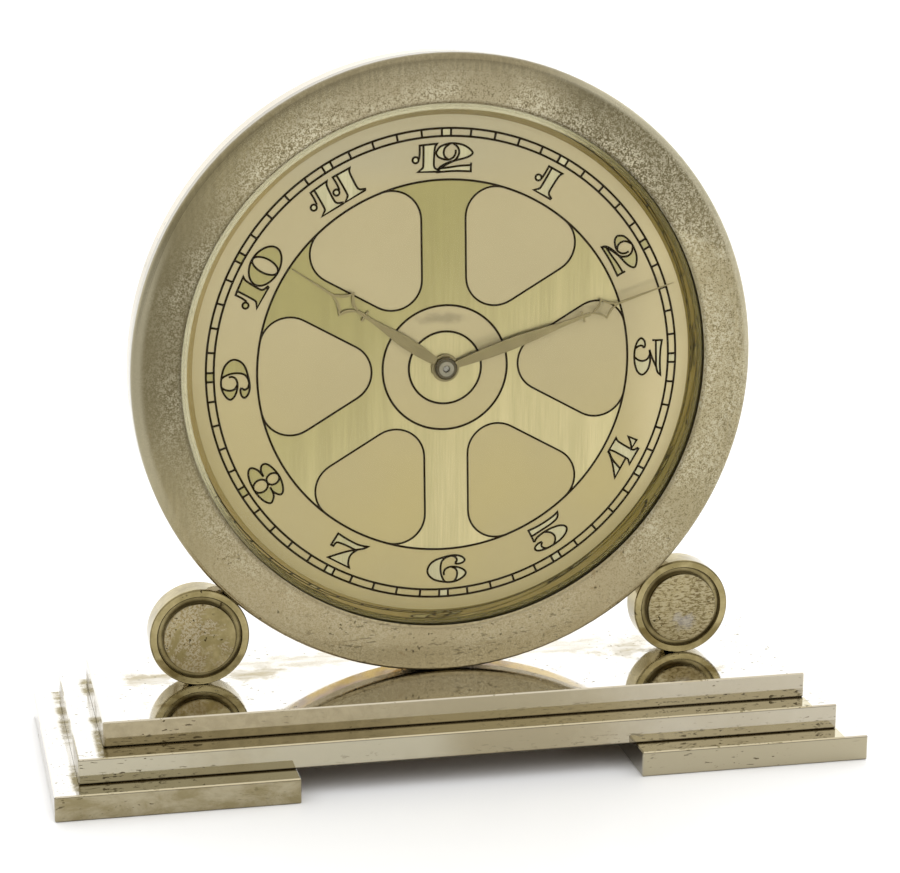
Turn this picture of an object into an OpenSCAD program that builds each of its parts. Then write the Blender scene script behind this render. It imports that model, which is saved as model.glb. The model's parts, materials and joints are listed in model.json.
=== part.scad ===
// Desk clock: a shallow round case on a stepped base, resting between two rollers, with an
// eight-day spring movement behind it.
// X runs to the right, Y to the back and Z up. The origin is the middle of the feet, on the floor.

/* [Base] */
// Width over the two foot plates
base_w = 169; // [160:1:182]
// Depth of the foot plates
base_d = 60.5; // [58:0.5:66]
// Thickness of each plate
plate_t = 5.4; // [4.8:0.1:6.5]
// Ledge between the feet and the middle plate
ledge_low = 5.2; // [4:0.1:6]
// Ledge between the middle plate and the top plate
ledge_top = 5.5; // [4:0.1:6]
// Width of each foot plate
foot_w = 49; // [44:1:54]
// Chamfer on the plates' edges
plate_edge = 0.25; // [0.1:0.05:0.5]

/* [Rollers] */
// Diameter of each roller
roller_d = 20.7; // [19:0.1:22]
// Thickness of each roller
roller_t = 6; // [5:0.1:7.5]
// Middle of the rollers behind the middle of the base
roller_y = 1.3; // [0.8:0.1:1.8]
// Width of the roller's rim
roller_rim = 1.65; // [1:0.05:2.2]
// Width of the sunk groove inside the rim
roller_groove = 1.1; // [0.7:0.1:1.6]
// Depth of the sunk groove
roller_sunk = 1; // [0.3:0.1:1.4]
// How far the round face stands out past the rim
roller_proud = 0.9; // [0:0.1:1.2]

/* [Case] */
// Outer diameter of the case
case_d = 130; // [126:1:134]
// Bezel's front face in front of the middle of the base
case_front = 3.6; // [3:0.1:4.2]
// Radial width of the bezel's face
bezel_w = 9.7; // [8.9:0.1:10.5]
// Depth of the bezel
bezel_depth = 4.2; // [3.9:0.1:4.8]
// Thickness of the bezel's face
bezel_t = 1.6; // [1.2:0.1:2]
// Thickness of the case wall
case_wall = 1.6; // [1.2:0.1:2.2]
// Rounding of the bezel's outer edge
edge_r = 1.5; // [0.8:0.1:1.9]
// Height of the bezel's crown over its edges
crown = 0.25; // [0:0.05:0.5]
// Lip of the bezel over the glass
lip_t = 0.6; // [0.4:0.1:0.9]
// Thickness of the case's back wall
web_t = 1.5; // [1.2:0.1:2]
// Opening in the case's back wall
web_open_d = 54; // [50:1:56]

/* [Glass and dial] */
// Thickness of the glass
glass_t = 1; // [0.8:0.1:1.2]
// Width of the glass held under the lip
glass_seat = 1.2; // [0.9:0.1:1.6]
// Depth of the sloping sight ring
sight_h = 2.1; // [2:0.1:2.6]
// Width of the sight ring's flat rim behind the glass
sight_ledge = 1.7; // [0.4:0.1:2]
// Radial slope of the sight ring
sight_slope = 1.3; // [1:0.1:2.2]
// Thickness of the dial
dial_t = 0.8; // [0.6:0.1:1.1]
// Dial's radius past the foot of the sight ring
dial_margin = 3.6; // [2.6:0.1:4]
// Space behind the dial
dial_space = 3.4; // [3.3:0.1:4]
// Depth of the engraved lines
line_deep = 0.1; // [0.05:0.05:0.2]
// Width of the engraved lines
line_w = 0.4; // [0.25:0.05:0.6]
// Outer radius of the minute track
track_r = 49.5; // [48.5:0.1:50.5]
// Width of the minute track
track_w = 1.6; // [1.2:0.1:2]
// Gap between the two lines at each hour, in degrees
hour_cell = 2.2; // [1.6:0.1:3]
// Radius of the engraved wheel's rim
rim_r = 39.05; // [38:0.1:41]
// Radius of the larger hub circle
hub_r = 13.1; // [12:0.1:14]
// Radius of the smaller hub circle
hub_in_r = 7.6; // [6.5:0.1:8.5]
// Width of the engraved spokes
spoke_w = 9.2; // [7:0.1:10]
// Rounding of the windows toward the hub
win_in_r = 6.2; // [5:0.1:8]
// Rounding of the windows toward the rim
win_out_r = 6.2; // [4:0.1:7]
// Turn of the engraved wheel against the hours, in degrees
wheel_turn = 0.95; // [-2:0.05:2]
// Radius of the posts that hold the dial
dial_post_r = 1.2; // [0.9:0.1:1.6]

/* [Hands] */
// Hour that the hands show
show_hour = 10; // [0:1:11]
// Minute that the hands show
show_min = 11.9; // [0:0.1:59.9]
// Thickness of each hand
hand_t = 0.3; // [0.2:0.05:0.35]
// Gap from the dial to the hour hand and on to the minute hand
hand_gap = 0.28; // [0.2:0.02:0.32]
// Length of the hour hand
hour_len = 38.4; // [34:0.1:39.5]
// How far the hour hand was set back from its true place, in degrees
hour_lag = 1.5; // [0:0.1:3]
// Length of the minute hand
min_len = 51; // [45:0.1:51.5]
// Widest part of the hands' blades
blade_w = 2.55; // [1.5:0.05:3]
// Width of the blades at the hub
blade_root_w = 1; // [0.8:0.1:1.4]
// Width of the blades where they meet the cross
neck_w = 0.75; // [0.5:0.05:0.9]
// Length of the small cross bar
cross_w = 2.4; // [1.6:0.1:3]
// Width of the open diamond on the hour hand
hour_dia_w = 5.9; // [4:0.1:7]
// Width of the open diamond on the minute hand
min_dia_w = 4.7; // [3.5:0.1:6]
// Length of both diamonds
dia_len = 7.8; // [6:0.1:8.5]
// Width of the hour hand's diamond frame
hour_rib = 0.7; // [0.5:0.05:1]
// Width of the minute hand's diamond frame
min_rib = 0.5; // [0.4:0.05:0.8]
// Radius of the hour hand's boss
hour_boss_r = 2.9; // [2.5:0.1:3.4]
// Radius of the collet that holds the minute hand
collet_r = 2.3; // [1.8:0.1:2.4]
// Thickness of the collet
collet_t = 0.5; // [0.3:0.05:0.55]

/* [Movement] */
// Diameter of the movement plates
move_d = 62; // [61:0.5:64]
// Thickness of the movement plates
move_t = 1.5; // [1.2:0.1:1.8]
// Space between the movement plates
move_gap = 8.6; // [8.5:0.1:9.5]
// Radius of the pillars
pillar_r = 1.6; // [1.3:0.1:2]
// Distance of the pillars from the centre
pillar_at = 27.4; // [26.8:0.1:27.8]
// Thickness of the train's wheels
wheel_t = 0.7; // [0.5:0.05:0.8]
// Radius of the train's arbors
arbor_r = 0.6; // [0.5:0.05:0.7]
// Radius of the train's pivots
pivot_r = 0.4; // [0.3:0.05:0.45]
// Radius of the balance and pallet pivots
fine_r = 0.2; // [0.15:0.05:0.3]
// Running clearance of a pivot in its hole
run = 0.05; // [0.03:0.01:0.08]
// Clearance between the movement plates and their housing
housing_gap = 2.5; // [2:0.1:4]
// Wall of the movement housing
housing_wall = 1; // [0.8:0.1:1.3]
// Space between the back plate and the rear cover
rear_space = 2.8; // [2.7:0.1:3.6]
// Thickness of the rear cover
cover_t = 1.2; // [1:0.1:1.6]

/* [Barrel] */
// Teeth on the barrel
barrel_z = 80; // [78:2:82]
// Module of the barrel's teeth
barrel_m = 0.32; // [0.31:0.01:0.33]
// Length of the barrel
barrel_h = 5.2; // [4.6:0.1:5.3]
// Radius of the barrel arbor
barrel_arbor_r = 1.1; // [0.9:0.05:1.3]
// Turns of the mainspring
spring_turns = 8; // [5:1:10]
// Thickness of the mainspring
spring_t = 0.35; // [0.25:0.05:0.5]
// Teeth on the ratchet wheel
ratchet_z = 24; // [24:12:36]
// Radius of the ratchet wheel
ratchet_r = 5.4; // [5:0.1:5.8]

/* [Going train] */
// Leaves of the intermediate pinion
inter_leaves = 10; // [10:1:11]
// Teeth on the intermediate wheel
inter_z = 60; // [58:1:62]
// Module of the intermediate wheel
inter_m = 0.25; // [0.24:0.01:0.26]
// Leaves of the centre pinion
centre_leaves = 12; // [11:1:13]
// Teeth on the centre wheel
centre_z = 80; // [78:1:82]
// Module of the centre wheel
centre_m = 0.2; // [0.19:0.01:0.21]
// Leaves of the third and fourth pinions
small_leaves = 10; // [9:1:11]
// Teeth on the third wheel
third_z = 75; // [73:1:77]
// Module of the third wheel
third_m = 0.18; // [0.17:0.01:0.19]
// Teeth on the fourth wheel
fourth_z = 80; // [78:1:82]
// Module of the fourth wheel
fourth_m = 0.15; // [0.145:0.005:0.155]
// Leaves of the escape pinion
escape_leaves = 8; // [7:1:9]

/* [Escapement] */
// Teeth on the escape wheel
escape_z = 15; // [12:1:16]
// Radius of the escape wheel
escape_r = 3.6; // [3.4:0.05:3.7]
// Distance from the escape wheel to the pallet arbor
pallet_c = 4.6; // [4.5:0.05:4.8]
// Distance from the pallet arbor to the balance staff
fork_c = 5; // [4.7:0.1:5.4]
// Radius of the balance wheel
balance_r = 5.5; // [5:0.1:5.8]
// Width of the balance rim
balance_rim = 0.9; // [0.6:0.1:1.2]
// Thickness of the balance rim
balance_t = 1.1; // [0.8:0.1:1.3]
// Turns of the hairspring
hair_turns = 6; // [4:1:8]

/* [Motion work] */
// Leaves of the cannon pinion and the setting pinion
cannon_leaves = 12; // [12:1:12]
// Teeth on the minute wheel
minute_z = 36; // [36:12:36]
// Module of the cannon pinion and the minute wheel
minute_m = 0.25; // [0.245:0.005:0.255]
// Leaves of the minute wheel's pinion
minute_leaves = 10; // [10:1:10]
// Teeth on the hour wheel
hour_z = 40; // [40:1:40]
// Wall of the cannon pinion's pipe and the hour wheel's pipe
pipe_wall = 0.4; // [0.3:0.05:0.5]

/* [Key and knob] */
// Width over the winding key's wings
key_w = 16; // [12:0.5:18]
// Thickness of the winding key's wings
key_t = 1.6; // [1.2:0.1:2]
// Diameter of the setting knob
knob_d = 8; // [6:0.5:10]
// Length of the setting knob
knob_h = 4.6; // [3.5:0.1:5.5]
// How far the winding key stands out of the rear cover
key_h = 7.6; // [6.5:0.1:8.2]

/* [Screws] */
// Radius of the base and case screws
screw_r = 1.5; // [1.2:0.1:1.7]
// Radius of the base and case screws' heads
head_r = 2.8; // [2.4:0.1:3.2]
// Height of the base and case screws' heads
head_h = 1.6; // [1.3:0.1:2]
// Radius of the movement's screws
small_r = 0.7; // [0.5:0.05:0.8]
// Radius of the movement's screw heads
small_head_r = 1.4; // [1.2:0.1:1.6]
// Height of the movement's screw heads
small_head_h = 0.9; // [0.6:0.1:1.1]
// Clearance round a screw
screw_fit = 0.1; // [0.05:0.05:0.2]

/* [Hidden] */
$fn = 72;

// Heights of the base and the case axis
middle_z = plate_t;
top_z = 2 * plate_t;
deck_z = 3 * plate_t;
case_r = case_d / 2;
axis_z = deck_z + case_r;

// Plate sizes
middle_w = base_w - 2 * ledge_low;
middle_d = base_d - 2 * ledge_low;
top_w = middle_w - 2 * ledge_top;
top_d = middle_d - 2 * ledge_top;
foot_x = base_w / 2 - foot_w;

// Rollers, tangent to the deck and to the case
roller_r = roller_d / 2;
roller_x = 2 * sqrt(case_r * roller_r);
base_screw_y = top_d / 2 - 1.6 * head_r;
base_screw_x = base_w / 2 - foot_w / 2 + 3;
seat_h = head_h + 0.4;
roller_hole_h = 6;

// Depths along Y, from the bezel's face to the rear
bezel_y = -case_front;
glass_y = bezel_y + lip_t;
sight_y = glass_y + glass_t;
dial_y = sight_y + sight_h;
dial_back_y = dial_y + dial_t;
web_y = dial_back_y + dial_space;
case_back_y = web_y + web_t;
seam_y = bezel_y + bezel_depth;
front_y = case_back_y + move_t;
back_y = front_y + move_gap;
back_face_y = back_y + move_t;
cover_y = back_face_y + rear_space;
rear_y = cover_y + cover_t;

// Radii of the case, the glass and the dial
face_in_r = case_r - bezel_w;
glass_r = face_in_r + glass_seat;
sight_r = face_in_r - sight_ledge;
sight_foot_r = sight_r - sight_slope;
dial_r = sight_foot_r + dial_margin;
spigot_r = case_r - case_wall;
fit = 0.05;
move_r = move_d / 2;
housing_r = move_r + housing_gap + housing_wall;
flange_w = 4.5;
case_screw_y = (seam_y + web_y) / 2;
anchor_w = 16;
anchor_h = 5.5;

// Hands
hour_hand_y = dial_y - hand_gap - hand_t;
min_hand_y = hour_hand_y - hand_gap - hand_t;
collet_y = min_hand_y - collet_t;
min_angle = show_min * 6;
hour_angle = (show_hour + show_min / 60) * 30 - hour_lag;

// Pipes on the centre arbor
pipe_in_r = arbor_r + run;
pipe_r = pipe_in_r + pipe_wall;
hour_in_r = pipe_r + run;
hour_pipe_r = hour_in_r + pipe_wall;

// Wheel levels, as depths behind the front plate
level_gap = 0.5;
endshake = 0.15;
inter_y = front_y + level_gap;
barrel_y = inter_y + wheel_t + 0.4;
barrel_rim_t = 1;
barrel_end_y = barrel_y + barrel_h;
centre_y = back_y - level_gap - wheel_t;
third_y = back_y - 3.6;
fourth_y = back_y - 6;
escape_y = front_y + 0.7;
balance_y = back_y - 4;
hair_y = back_y + 0.3;
fork_t = 0.6;

// Gear pitch distances and centres
function centre_of(m, a, b) = m * (a + b) / 2;
function polar(r, a) = [r * cos(a), r * sin(a)];
inter_dir = 208;
barrel_dir = 108.8;
third_dir = -20;
fourth_dir = -75;
escape_dir = 200;
minute_dir = 60;
setting_dir = 40;
inter_p = polar(centre_of(inter_m, inter_z, centre_leaves), inter_dir);
barrel_p = inter_p + polar(centre_of(barrel_m, barrel_z, inter_leaves), barrel_dir);
third_p = polar(centre_of(centre_m, centre_z, small_leaves), third_dir);
fourth_p = third_p + polar(centre_of(third_m, third_z, small_leaves), fourth_dir);
escape_p = fourth_p + polar(centre_of(fourth_m, fourth_z, escape_leaves), escape_dir);
pallet_p = escape_p + polar(pallet_c, escape_dir);
balance_p = pallet_p + polar(fork_c, escape_dir);
minute_c = centre_of(minute_m, minute_z, cannon_leaves);
minute_p = polar(minute_c, minute_dir);
setting_p = minute_p + polar(minute_c, setting_dir);
hour_m = 2 * minute_c / (hour_z + minute_leaves);

// Motion work depths
hour_wheel_y = dial_back_y + 0.9;
minute_wheel_y = case_back_y - 1.9;
minute_t = 0.8;

// Barrel
barrel_pitch_r = barrel_z * barrel_m / 2;
barrel_r = barrel_pitch_r - 2.4 * barrel_m;
barrel_in_r = barrel_r - 0.7;
barrel_lid_r = barrel_in_r + 0.35;
barrel_lid_t = 0.6;
core_r = 2 * barrel_arbor_r;
ratchet_square = 2.6 * barrel_arbor_r;
key_square = 1.5 * barrel_arbor_r;

// Click
click_dir = 190;
click_c = ratchet_r + 2.6;
click_p = barrel_p + polar(click_c, click_dir);
ratchet_t = 0.9;
ratchet_deep = 0.8;
nose_dir = click_dir - 51;
click_foot_p = barrel_p + polar(click_c + 1.6, nose_dir - 26);
ratchet_y = back_face_y + 0.2;

// Screw places on the movement, in degrees round its centre
pillar_dirs = [88, 15, -62, -152];
move_screw_dirs = [52, -18, -95, 180];
move_screw_at = (move_r + web_open_d / 2) / 2;
housing_screw_dirs = [45, 135, 225, 315];
cover_screw_dirs = [100, 220, 340];
cover_lip = 2.6;
dial_post_dirs = [15, 135, 255];
dial_post_at = (web_open_d / 2 + spigot_r) / 2;

// Pallet cock and balance cock
window_r = balance_r + 0.9;
cock_t = 1.3;
cock_y = back_face_y;
balance_dir = atan2(balance_p[1], balance_p[0]);
cock_foot_c = window_r + 2.3;
cock_foot_p = balance_p + polar(cock_foot_c, balance_dir);
pallet_foot_p = pallet_p + polar(5.2, escape_dir + 90);
pallet_cock_y = escape_y + fork_t + 0.9;
pallet_cock_t = 0.8;
regulator_y = cock_y + cock_t;
regulator_t = 0.4;
regulator_len = 8;
bridge_head_h = small_head_h - 0.2;
pallet_arbor_r = 0.4;
staff_r = 0.5;
hair_r = 3.5;
hair_t = 0.12;

// A flat slice between two depths, drawn as seen from the front, round the case axis
module slice(y0, y1) {
  translate([0, y1, axis_z]) rotate([90, 0, 0]) linear_extrude(y1 - y0) children();
}

// A turned piece round the case axis, its outline given as [radius, depth]
module turned(points) {
  translate([0, 0, axis_z]) rotate([90, 0, 0]) rotate_extrude()
    polygon([for (p = points) [p[0], -p[1]]]);
}

// A round rod between two depths at a place on the movement
module rod(p, y0, y1, r) {
  translate([p[0], y1, axis_z + p[1]]) rotate([90, 0, 0]) cylinder(r = r, h = y1 - y0);
}

// A rod with a hole through it
module tube(p, y0, y1, r, bore) {
  slice(y0, y1) translate(p) difference() {
    circle(r);
    circle(bore);
  }
}

// A machine screw seen from its head, running toward the front, with a slot
module screw(p, y_tip, y_seat, r, head, height) {
  rod(p, y_tip, y_seat, r);
  difference() {
    rod(p, y_seat, y_seat + height, head);
    translate([p[0] - head * 1.2, y_seat + height * 0.5, axis_z + p[1] - head * 0.12])
      cube([head * 2.4, height, head * 0.24]);
  }
}

// An upright screw from below, its head at the bottom
module upright_screw(x, y, z_seat, z_tip) {
  translate([x, y, z_seat - head_h]) difference() {
    union() {
      cylinder(r = head_r, h = head_h);
      cylinder(r = screw_r, h = z_tip - z_seat + head_h);
    }
    translate([-1.2 * head_r, -0.12 * head_r, -1]) cube([2.4 * head_r, 0.24 * head_r, 1 + 0.45 * head_h]);
  }
}

// The hole for an upright screw, with room for its head below the seat
module upright_hole(x, y, z0, z_seat, z1) {
  translate([x, y, z0 - 1]) cylinder(r = head_r + screw_fit, h = z_seat - z0 + 1);
  translate([x, y, z0 - 1]) cylinder(r = screw_r + screw_fit, h = z1 - z0 + 1);
}

// Outline of a toothed wheel: radial flanks below the pitch circle, rounded points above it.
// The values after the module are tooth width, height and depth, in modules.
function tooth_steps(z, m, w, up, down) = let (r = z * m / 2, a = w * m / r * 90 / PI)
  [[r - down * m, -a], [r, -a], [r + 0.55 * up * m, -0.72 * a], [r + up * m, -0.18 * a],
   [r + up * m, 0.18 * a], [r + 0.55 * up * m, 0.72 * a], [r, a], [r - down * m, a]];
function toothed(z, m, w, up, down, turn) =
  [for (i = [0:z - 1]) for (s = tooth_steps(z, m, w, up, down)) polar(s[0], turn + i * 360 / z + s[1])];
module wheel_outline(z, m, turn) {
  polygon(toothed(z, m, 1.5, 1.25, 1.5, turn));
}
module pinion_outline(z, m, turn) {
  polygon(toothed(z, m, z > 10 ? 1.2 : 1.02, 0.7, 1.75, turn));
}

// A pinion turned so that a gap faces the given direction
function gap_turn(dir, z) = dir + 180 / z;

// A wheel with crossed-out arms
module crossed(r_out, r_in, arms, arm_w) {
  difference() {
    circle(r_out);
    circle(r_in);
    for (i = [0:arms - 1]) rotate(i * 360 / arms + 20) translate([0, -arm_w / 2])
      square([r_out + 1, arm_w]);
  }
}
module train_wheel(p, y, z, m, turn, bore) {
  r = z * m / 2;
  slice(y, y + wheel_t) translate(p) difference() {
    wheel_outline(z, m, turn);
    circle(bore);
    crossed(r - 4.2 * m, max(bore + 1, 0.28 * r), 4, 0.13 * r);
  }
}

// An arbor with its pinion and a pivot at each end, slimmer than the roots of its leaves
function body_r(z, m) = min(arbor_r, (z / 2 - 1.8) * m);
function neck_r(z, m) = min(pivot_r, body_r(z, m) - 0.1);
module train_arbor(p, z, m, turn, y_pin0, y_pin1) {
  slice(y_pin0, y_pin1) translate(p) pinion_outline(z, m, turn);
  rod(p, front_y + endshake, back_y - endshake, body_r(z, m));
  rod(p, front_y - move_t + 0.1, back_face_y - 0.1, neck_r(z, m));
}
inter_arbor_r = body_r(inter_leaves, barrel_m);
third_arbor_r = body_r(small_leaves, centre_m);
fourth_arbor_r = body_r(small_leaves, third_m);
escape_arbor_r = body_r(escape_leaves, fourth_m);
// Each pivot's place and radius
train_pivots = [[inter_p, neck_r(inter_leaves, barrel_m)], [third_p, neck_r(small_leaves, centre_m)],
  [fourth_p, neck_r(small_leaves, third_m)], [escape_p, neck_r(escape_leaves, fourth_m)]];

// Base plates, each with its twelve edges chamfered
module soft_rect(w, h) {
  e = plate_edge;
  polygon([[e, 0], [w - e, 0], [w, e], [w, h - e], [w - e, h], [e, h], [0, h - e], [0, e]]);
}
module plate(x, z, w, d) {
  translate([x, -d / 2, z]) intersection() {
    linear_extrude(plate_t) soft_rect(w, d);
    translate([0, d, 0]) rotate([90, 0, 0]) linear_extrude(d) soft_rect(w, plate_t);
    rotate([90, 0, 90]) linear_extrude(w) soft_rect(d, plate_t);
  }
}
module foot(side) {
  color("#b9b19c") difference() {
    plate(side > 0 ? foot_x : -foot_x - foot_w, 0, foot_w, base_d);
    for (y = [-base_screw_y, base_screw_y])
      upright_hole(side * base_screw_x, y, 0, seat_h, plate_t + 1);
  }
}
module foot_left() { foot(-1); }
module foot_right() { foot(1); }
module base_holes(z0, z1) {
  for (sx = [-1, 1], sy = [-1, 1]) translate([sx * base_screw_x, sy * base_screw_y, z0])
    cylinder(r = screw_r + screw_fit, h = z1 - z0);
}
module middle_plate() {
  color("#b9b19c") difference() {
    plate(-middle_w / 2, middle_z, middle_w, middle_d);
    base_holes(middle_z - 1, top_z + 1);
    for (sx = [-1, 1]) upright_hole(sx * roller_x, roller_y, middle_z, middle_z + seat_h, top_z + 1);
    upright_hole(0, case_screw_y, middle_z, middle_z + seat_h, top_z + 1);
  }
}
module top_plate() {
  color("#c3bba6") difference() {
    plate(-top_w / 2, top_z, top_w, top_d);
    base_holes(top_z - 1, deck_z - 2);
    for (x = [-roller_x, roller_x]) translate([x, roller_y, top_z - 1])
      cylinder(r = screw_r + screw_fit, h = plate_t + 2);
    translate([0, case_screw_y, top_z - 1]) cylinder(r = screw_r + screw_fit, h = plate_t + 2);
  }
}
module base_screws() {
  color("#8d8672") for (sx = [-1, 1], sy = [-1, 1])
    upright_screw(sx * base_screw_x, sy * base_screw_y, seat_h, deck_z - 2.3);
}

// Rollers
module roller(side) {
  half = roller_t / 2;
  soft = 0.35;
  boss_soft = 0.5;
  rim_in = roller_r - roller_rim;
  boss = rim_in - roller_groove;
  face = half + roller_proud;
  side_profile = concat(
    [[0, face]], arc([boss - boss_soft, face - boss_soft], boss_soft, 90, 0, 4),
    [[boss, half - roller_sunk], [rim_in, half - roller_sunk], [rim_in, half - soft / 2],
      [rim_in + soft / 2, half]],
    arc([roller_r - soft, half - soft], soft, 90, 0, 3));
  last = len(side_profile) - 1;
  far_profile = [for (i = [last:-1:0]) [side_profile[i][0], -side_profile[i][1]]];
  color("#a89f8a") difference() {
    translate([side * roller_x, roller_y, deck_z + roller_r]) rotate([90, 0, 0])
      rotate_extrude() polygon(concat(side_profile, far_profile));
    translate([side * roller_x, roller_y, deck_z - 1])
      cylinder(r = screw_r + screw_fit, h = roller_hole_h + 1);
  }
}
module roller_left() { roller(-1); }
module roller_right() { roller(1); }
module roller_screws() {
  color("#8d8672") for (x = [-roller_x, roller_x])
    upright_screw(x, roller_y, middle_z + seat_h, deck_z + roller_hole_h - 0.5);
}

// Case fixing
module case_screw() {
  color("#8d8672") upright_screw(0, case_screw_y, middle_z + seat_h, deck_z + case_wall + anchor_h);
}
module anchor_block() {
  color("#b59a5b") difference() {
    slice(seam_y + 0.4, web_y) intersection() {
      circle(spigot_r - case_wall);
      translate([-anchor_w / 2, -case_r]) square([anchor_w, 2 * case_wall + anchor_h]);
    }
    translate([0, case_screw_y, deck_z]) cylinder(r = screw_r + screw_fit, h = 20);
  }
}

// Case: a shallow pan, whose spigot carries the bezel
module case_pan() {
  spigot_y = seam_y - 1.5;
  in_r = spigot_r - case_wall;
  color("#a89f8a") difference() {
    turned([[web_open_d / 2, web_y], [in_r, web_y], [in_r, spigot_y], [spigot_r - fit, spigot_y],
      [spigot_r - fit, seam_y], [case_r, seam_y], [case_r, case_back_y - 0.5],
      [case_r - 0.5, case_back_y], [web_open_d / 2, case_back_y]]);
    translate([0, case_screw_y, deck_z - 1]) cylinder(r = screw_r + screw_fit, h = 10);
    for (a = dial_post_dirs) rod(polar(dial_post_at, a), web_y - 1, case_back_y + 1, small_r + screw_fit);
    for (a = move_screw_dirs) rod(polar(move_screw_at, a), web_y - 1, case_back_y + 1, small_r + screw_fit);
    for (a = housing_screw_dirs) rod(polar(housing_r + flange_w / 2, a), web_y - 1, case_back_y + 1,
      small_r + screw_fit);
  }
}
module bezel() {
  steps = 8;
  face_r = case_r - edge_r;
  shoulder_y = bezel_y + crown + edge_r;
  crown_mid = (face_r + face_in_r) / 2;
  crown_half = (face_r - face_in_r) / 2;
  color("#a89f8a") turned(concat(
    [[case_r, seam_y]],
    [for (i = [0:steps]) [face_r + edge_r * cos(i * 90 / steps), shoulder_y - edge_r * sin(i * 90 / steps)]],
    [for (i = [1:steps - 1]) let (u = 1 - 2 * i / steps)
      [crown_mid + crown_half * u, bezel_y + crown * u * u]],
    [[face_in_r, bezel_y + crown], [face_in_r - 0.4, glass_y], [glass_r, glass_y],
     [glass_r, sight_y], [glass_r + 1.2, bezel_y + bezel_t], [spigot_r, bezel_y + bezel_t],
     [spigot_r, seam_y]]));
}
module glass() {
  edge = glass_r - fit;
  color("#dfe8e4", 0.3) turned([[0, glass_y], [edge, glass_y], [edge, sight_y], [0, sight_y]]);
}
module sight_ring() {
  skin = 0.7;
  color("#cfc58f") turned([[sight_r, sight_y], [glass_r - fit, sight_y], [glass_r - fit, sight_y + skin],
    [sight_r + skin, sight_y + skin], [sight_foot_r + skin, dial_y], [sight_foot_r, dial_y]]);
}

// Dial, engraved with a wheel of six spokes and a minute track
function arc(c, r, a0, a1, n) = [for (i = [0:n]) [c[0], c[1]] + polar(r, a0 + (a1 - a0) * i / n)];
function window_points(o) = let (
    half = spoke_w / 2,
    inner = [(half + win_in_r) * 2, 0],
    out_c = rim_r - win_out_r,
    lean = 30 - asin((half + win_out_r) / out_c))
  concat(arc([0, 0], rim_r + o, -lean, lean, 10),
    arc(polar(out_c, lean), win_out_r + o, lean, 120, 7),
    arc(inner, win_in_r + o, 120, 240, 9),
    arc(polar(out_c, -lean), win_out_r + o, -120, -lean, 7));
module ring_line(r) {
  difference() {
    circle(r + line_w / 2);
    circle(r - line_w / 2);
  }
}
module engraving() {
  ring_line(track_r);
  ring_line(track_r - track_w);
  ring_line(hub_r);
  ring_line(hub_in_r);
  for (i = [0:59]) for (d = i % 5 == 0 ? [-hour_cell / 2, hour_cell / 2] : [0])
    rotate(i * 6 + d) translate([track_r - track_w, -line_w / 2]) square([track_w, line_w]);
  ring_line(rim_r);
  for (i = [0:5]) rotate(i * 60 + wheel_turn) difference() {
    polygon(window_points(line_w / 4));
    polygon(window_points(-line_w / 2));
  }
}
module dial() {
  color("#cdc096") difference() {
    union() {
      slice(dial_y, dial_back_y) circle(dial_r);
      for (a = dial_post_dirs) rod(polar(dial_post_at, a), dial_back_y, web_y, dial_post_r);
    }
    slice(dial_y - 1, dial_back_y + 1) circle(hour_pipe_r + 0.2);
    slice(dial_y - 1, dial_y + line_deep) engraving();
    for (a = dial_post_dirs) rod(polar(dial_post_at, a), dial_back_y, web_y + 1, small_r + fit);
  }
}
module dial_screws() {
  color("#8d8672") for (a = dial_post_dirs)
    screw(polar(dial_post_at, a), dial_back_y + 0.6, case_back_y, small_r, small_head_r, small_head_h);
}

// Rear housing
module rear_housing() {
  color("#a89f8a") difference() {
    turned([[housing_r - housing_wall, case_back_y], [housing_r + flange_w, case_back_y],
      [housing_r + flange_w, case_back_y + housing_wall], [housing_r, case_back_y + housing_wall],
      [housing_r, cover_y], [housing_r - housing_wall - cover_lip, cover_y],
      [housing_r - housing_wall - cover_lip, cover_y - 1.2], [housing_r - housing_wall, cover_y - 1.2]]);
    for (a = housing_screw_dirs) rod(polar(housing_r + flange_w / 2, a), case_back_y - 1,
      case_back_y + 3, small_r + screw_fit);
    for (a = cover_screw_dirs) rod(polar(housing_r - housing_wall - cover_lip / 2, a), cover_y - 3,
      cover_y + 1, small_r + screw_fit);
  }
}
module housing_screws() {
  color("#8d8672") for (a = housing_screw_dirs)
    screw(polar(housing_r + flange_w / 2, a), web_y + 0.2, case_back_y + housing_wall, small_r,
      small_head_r, small_head_h);
}
module rear_cover() {
  slot_r = regulator_len - 0.5;
  slot_half = 26;
  color("#a89f8a") difference() {
    slice(cover_y, rear_y) difference() {
      circle(housing_r);
      translate(barrel_p) circle(barrel_arbor_r + 0.6);
      translate(setting_p) circle(arbor_r + 0.6);
      translate(balance_p) rotate(regulator_dir) polygon(concat(
        arc([0, 0], slot_r + 0.7, -slot_half, slot_half, 8),
        arc([0, 0], slot_r - 0.7, slot_half, -slot_half, 8)));
    }
    for (a = cover_screw_dirs) rod(polar(housing_r - housing_wall - cover_lip / 2, a), cover_y - 1,
      rear_y + 1, small_r + screw_fit);
  }
}
module cover_screws() {
  color("#8d8672") for (a = cover_screw_dirs)
    screw(polar(housing_r - housing_wall - cover_lip / 2, a), cover_y - 1.1, rear_y, small_r,
      small_head_r, small_head_h);
}

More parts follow.
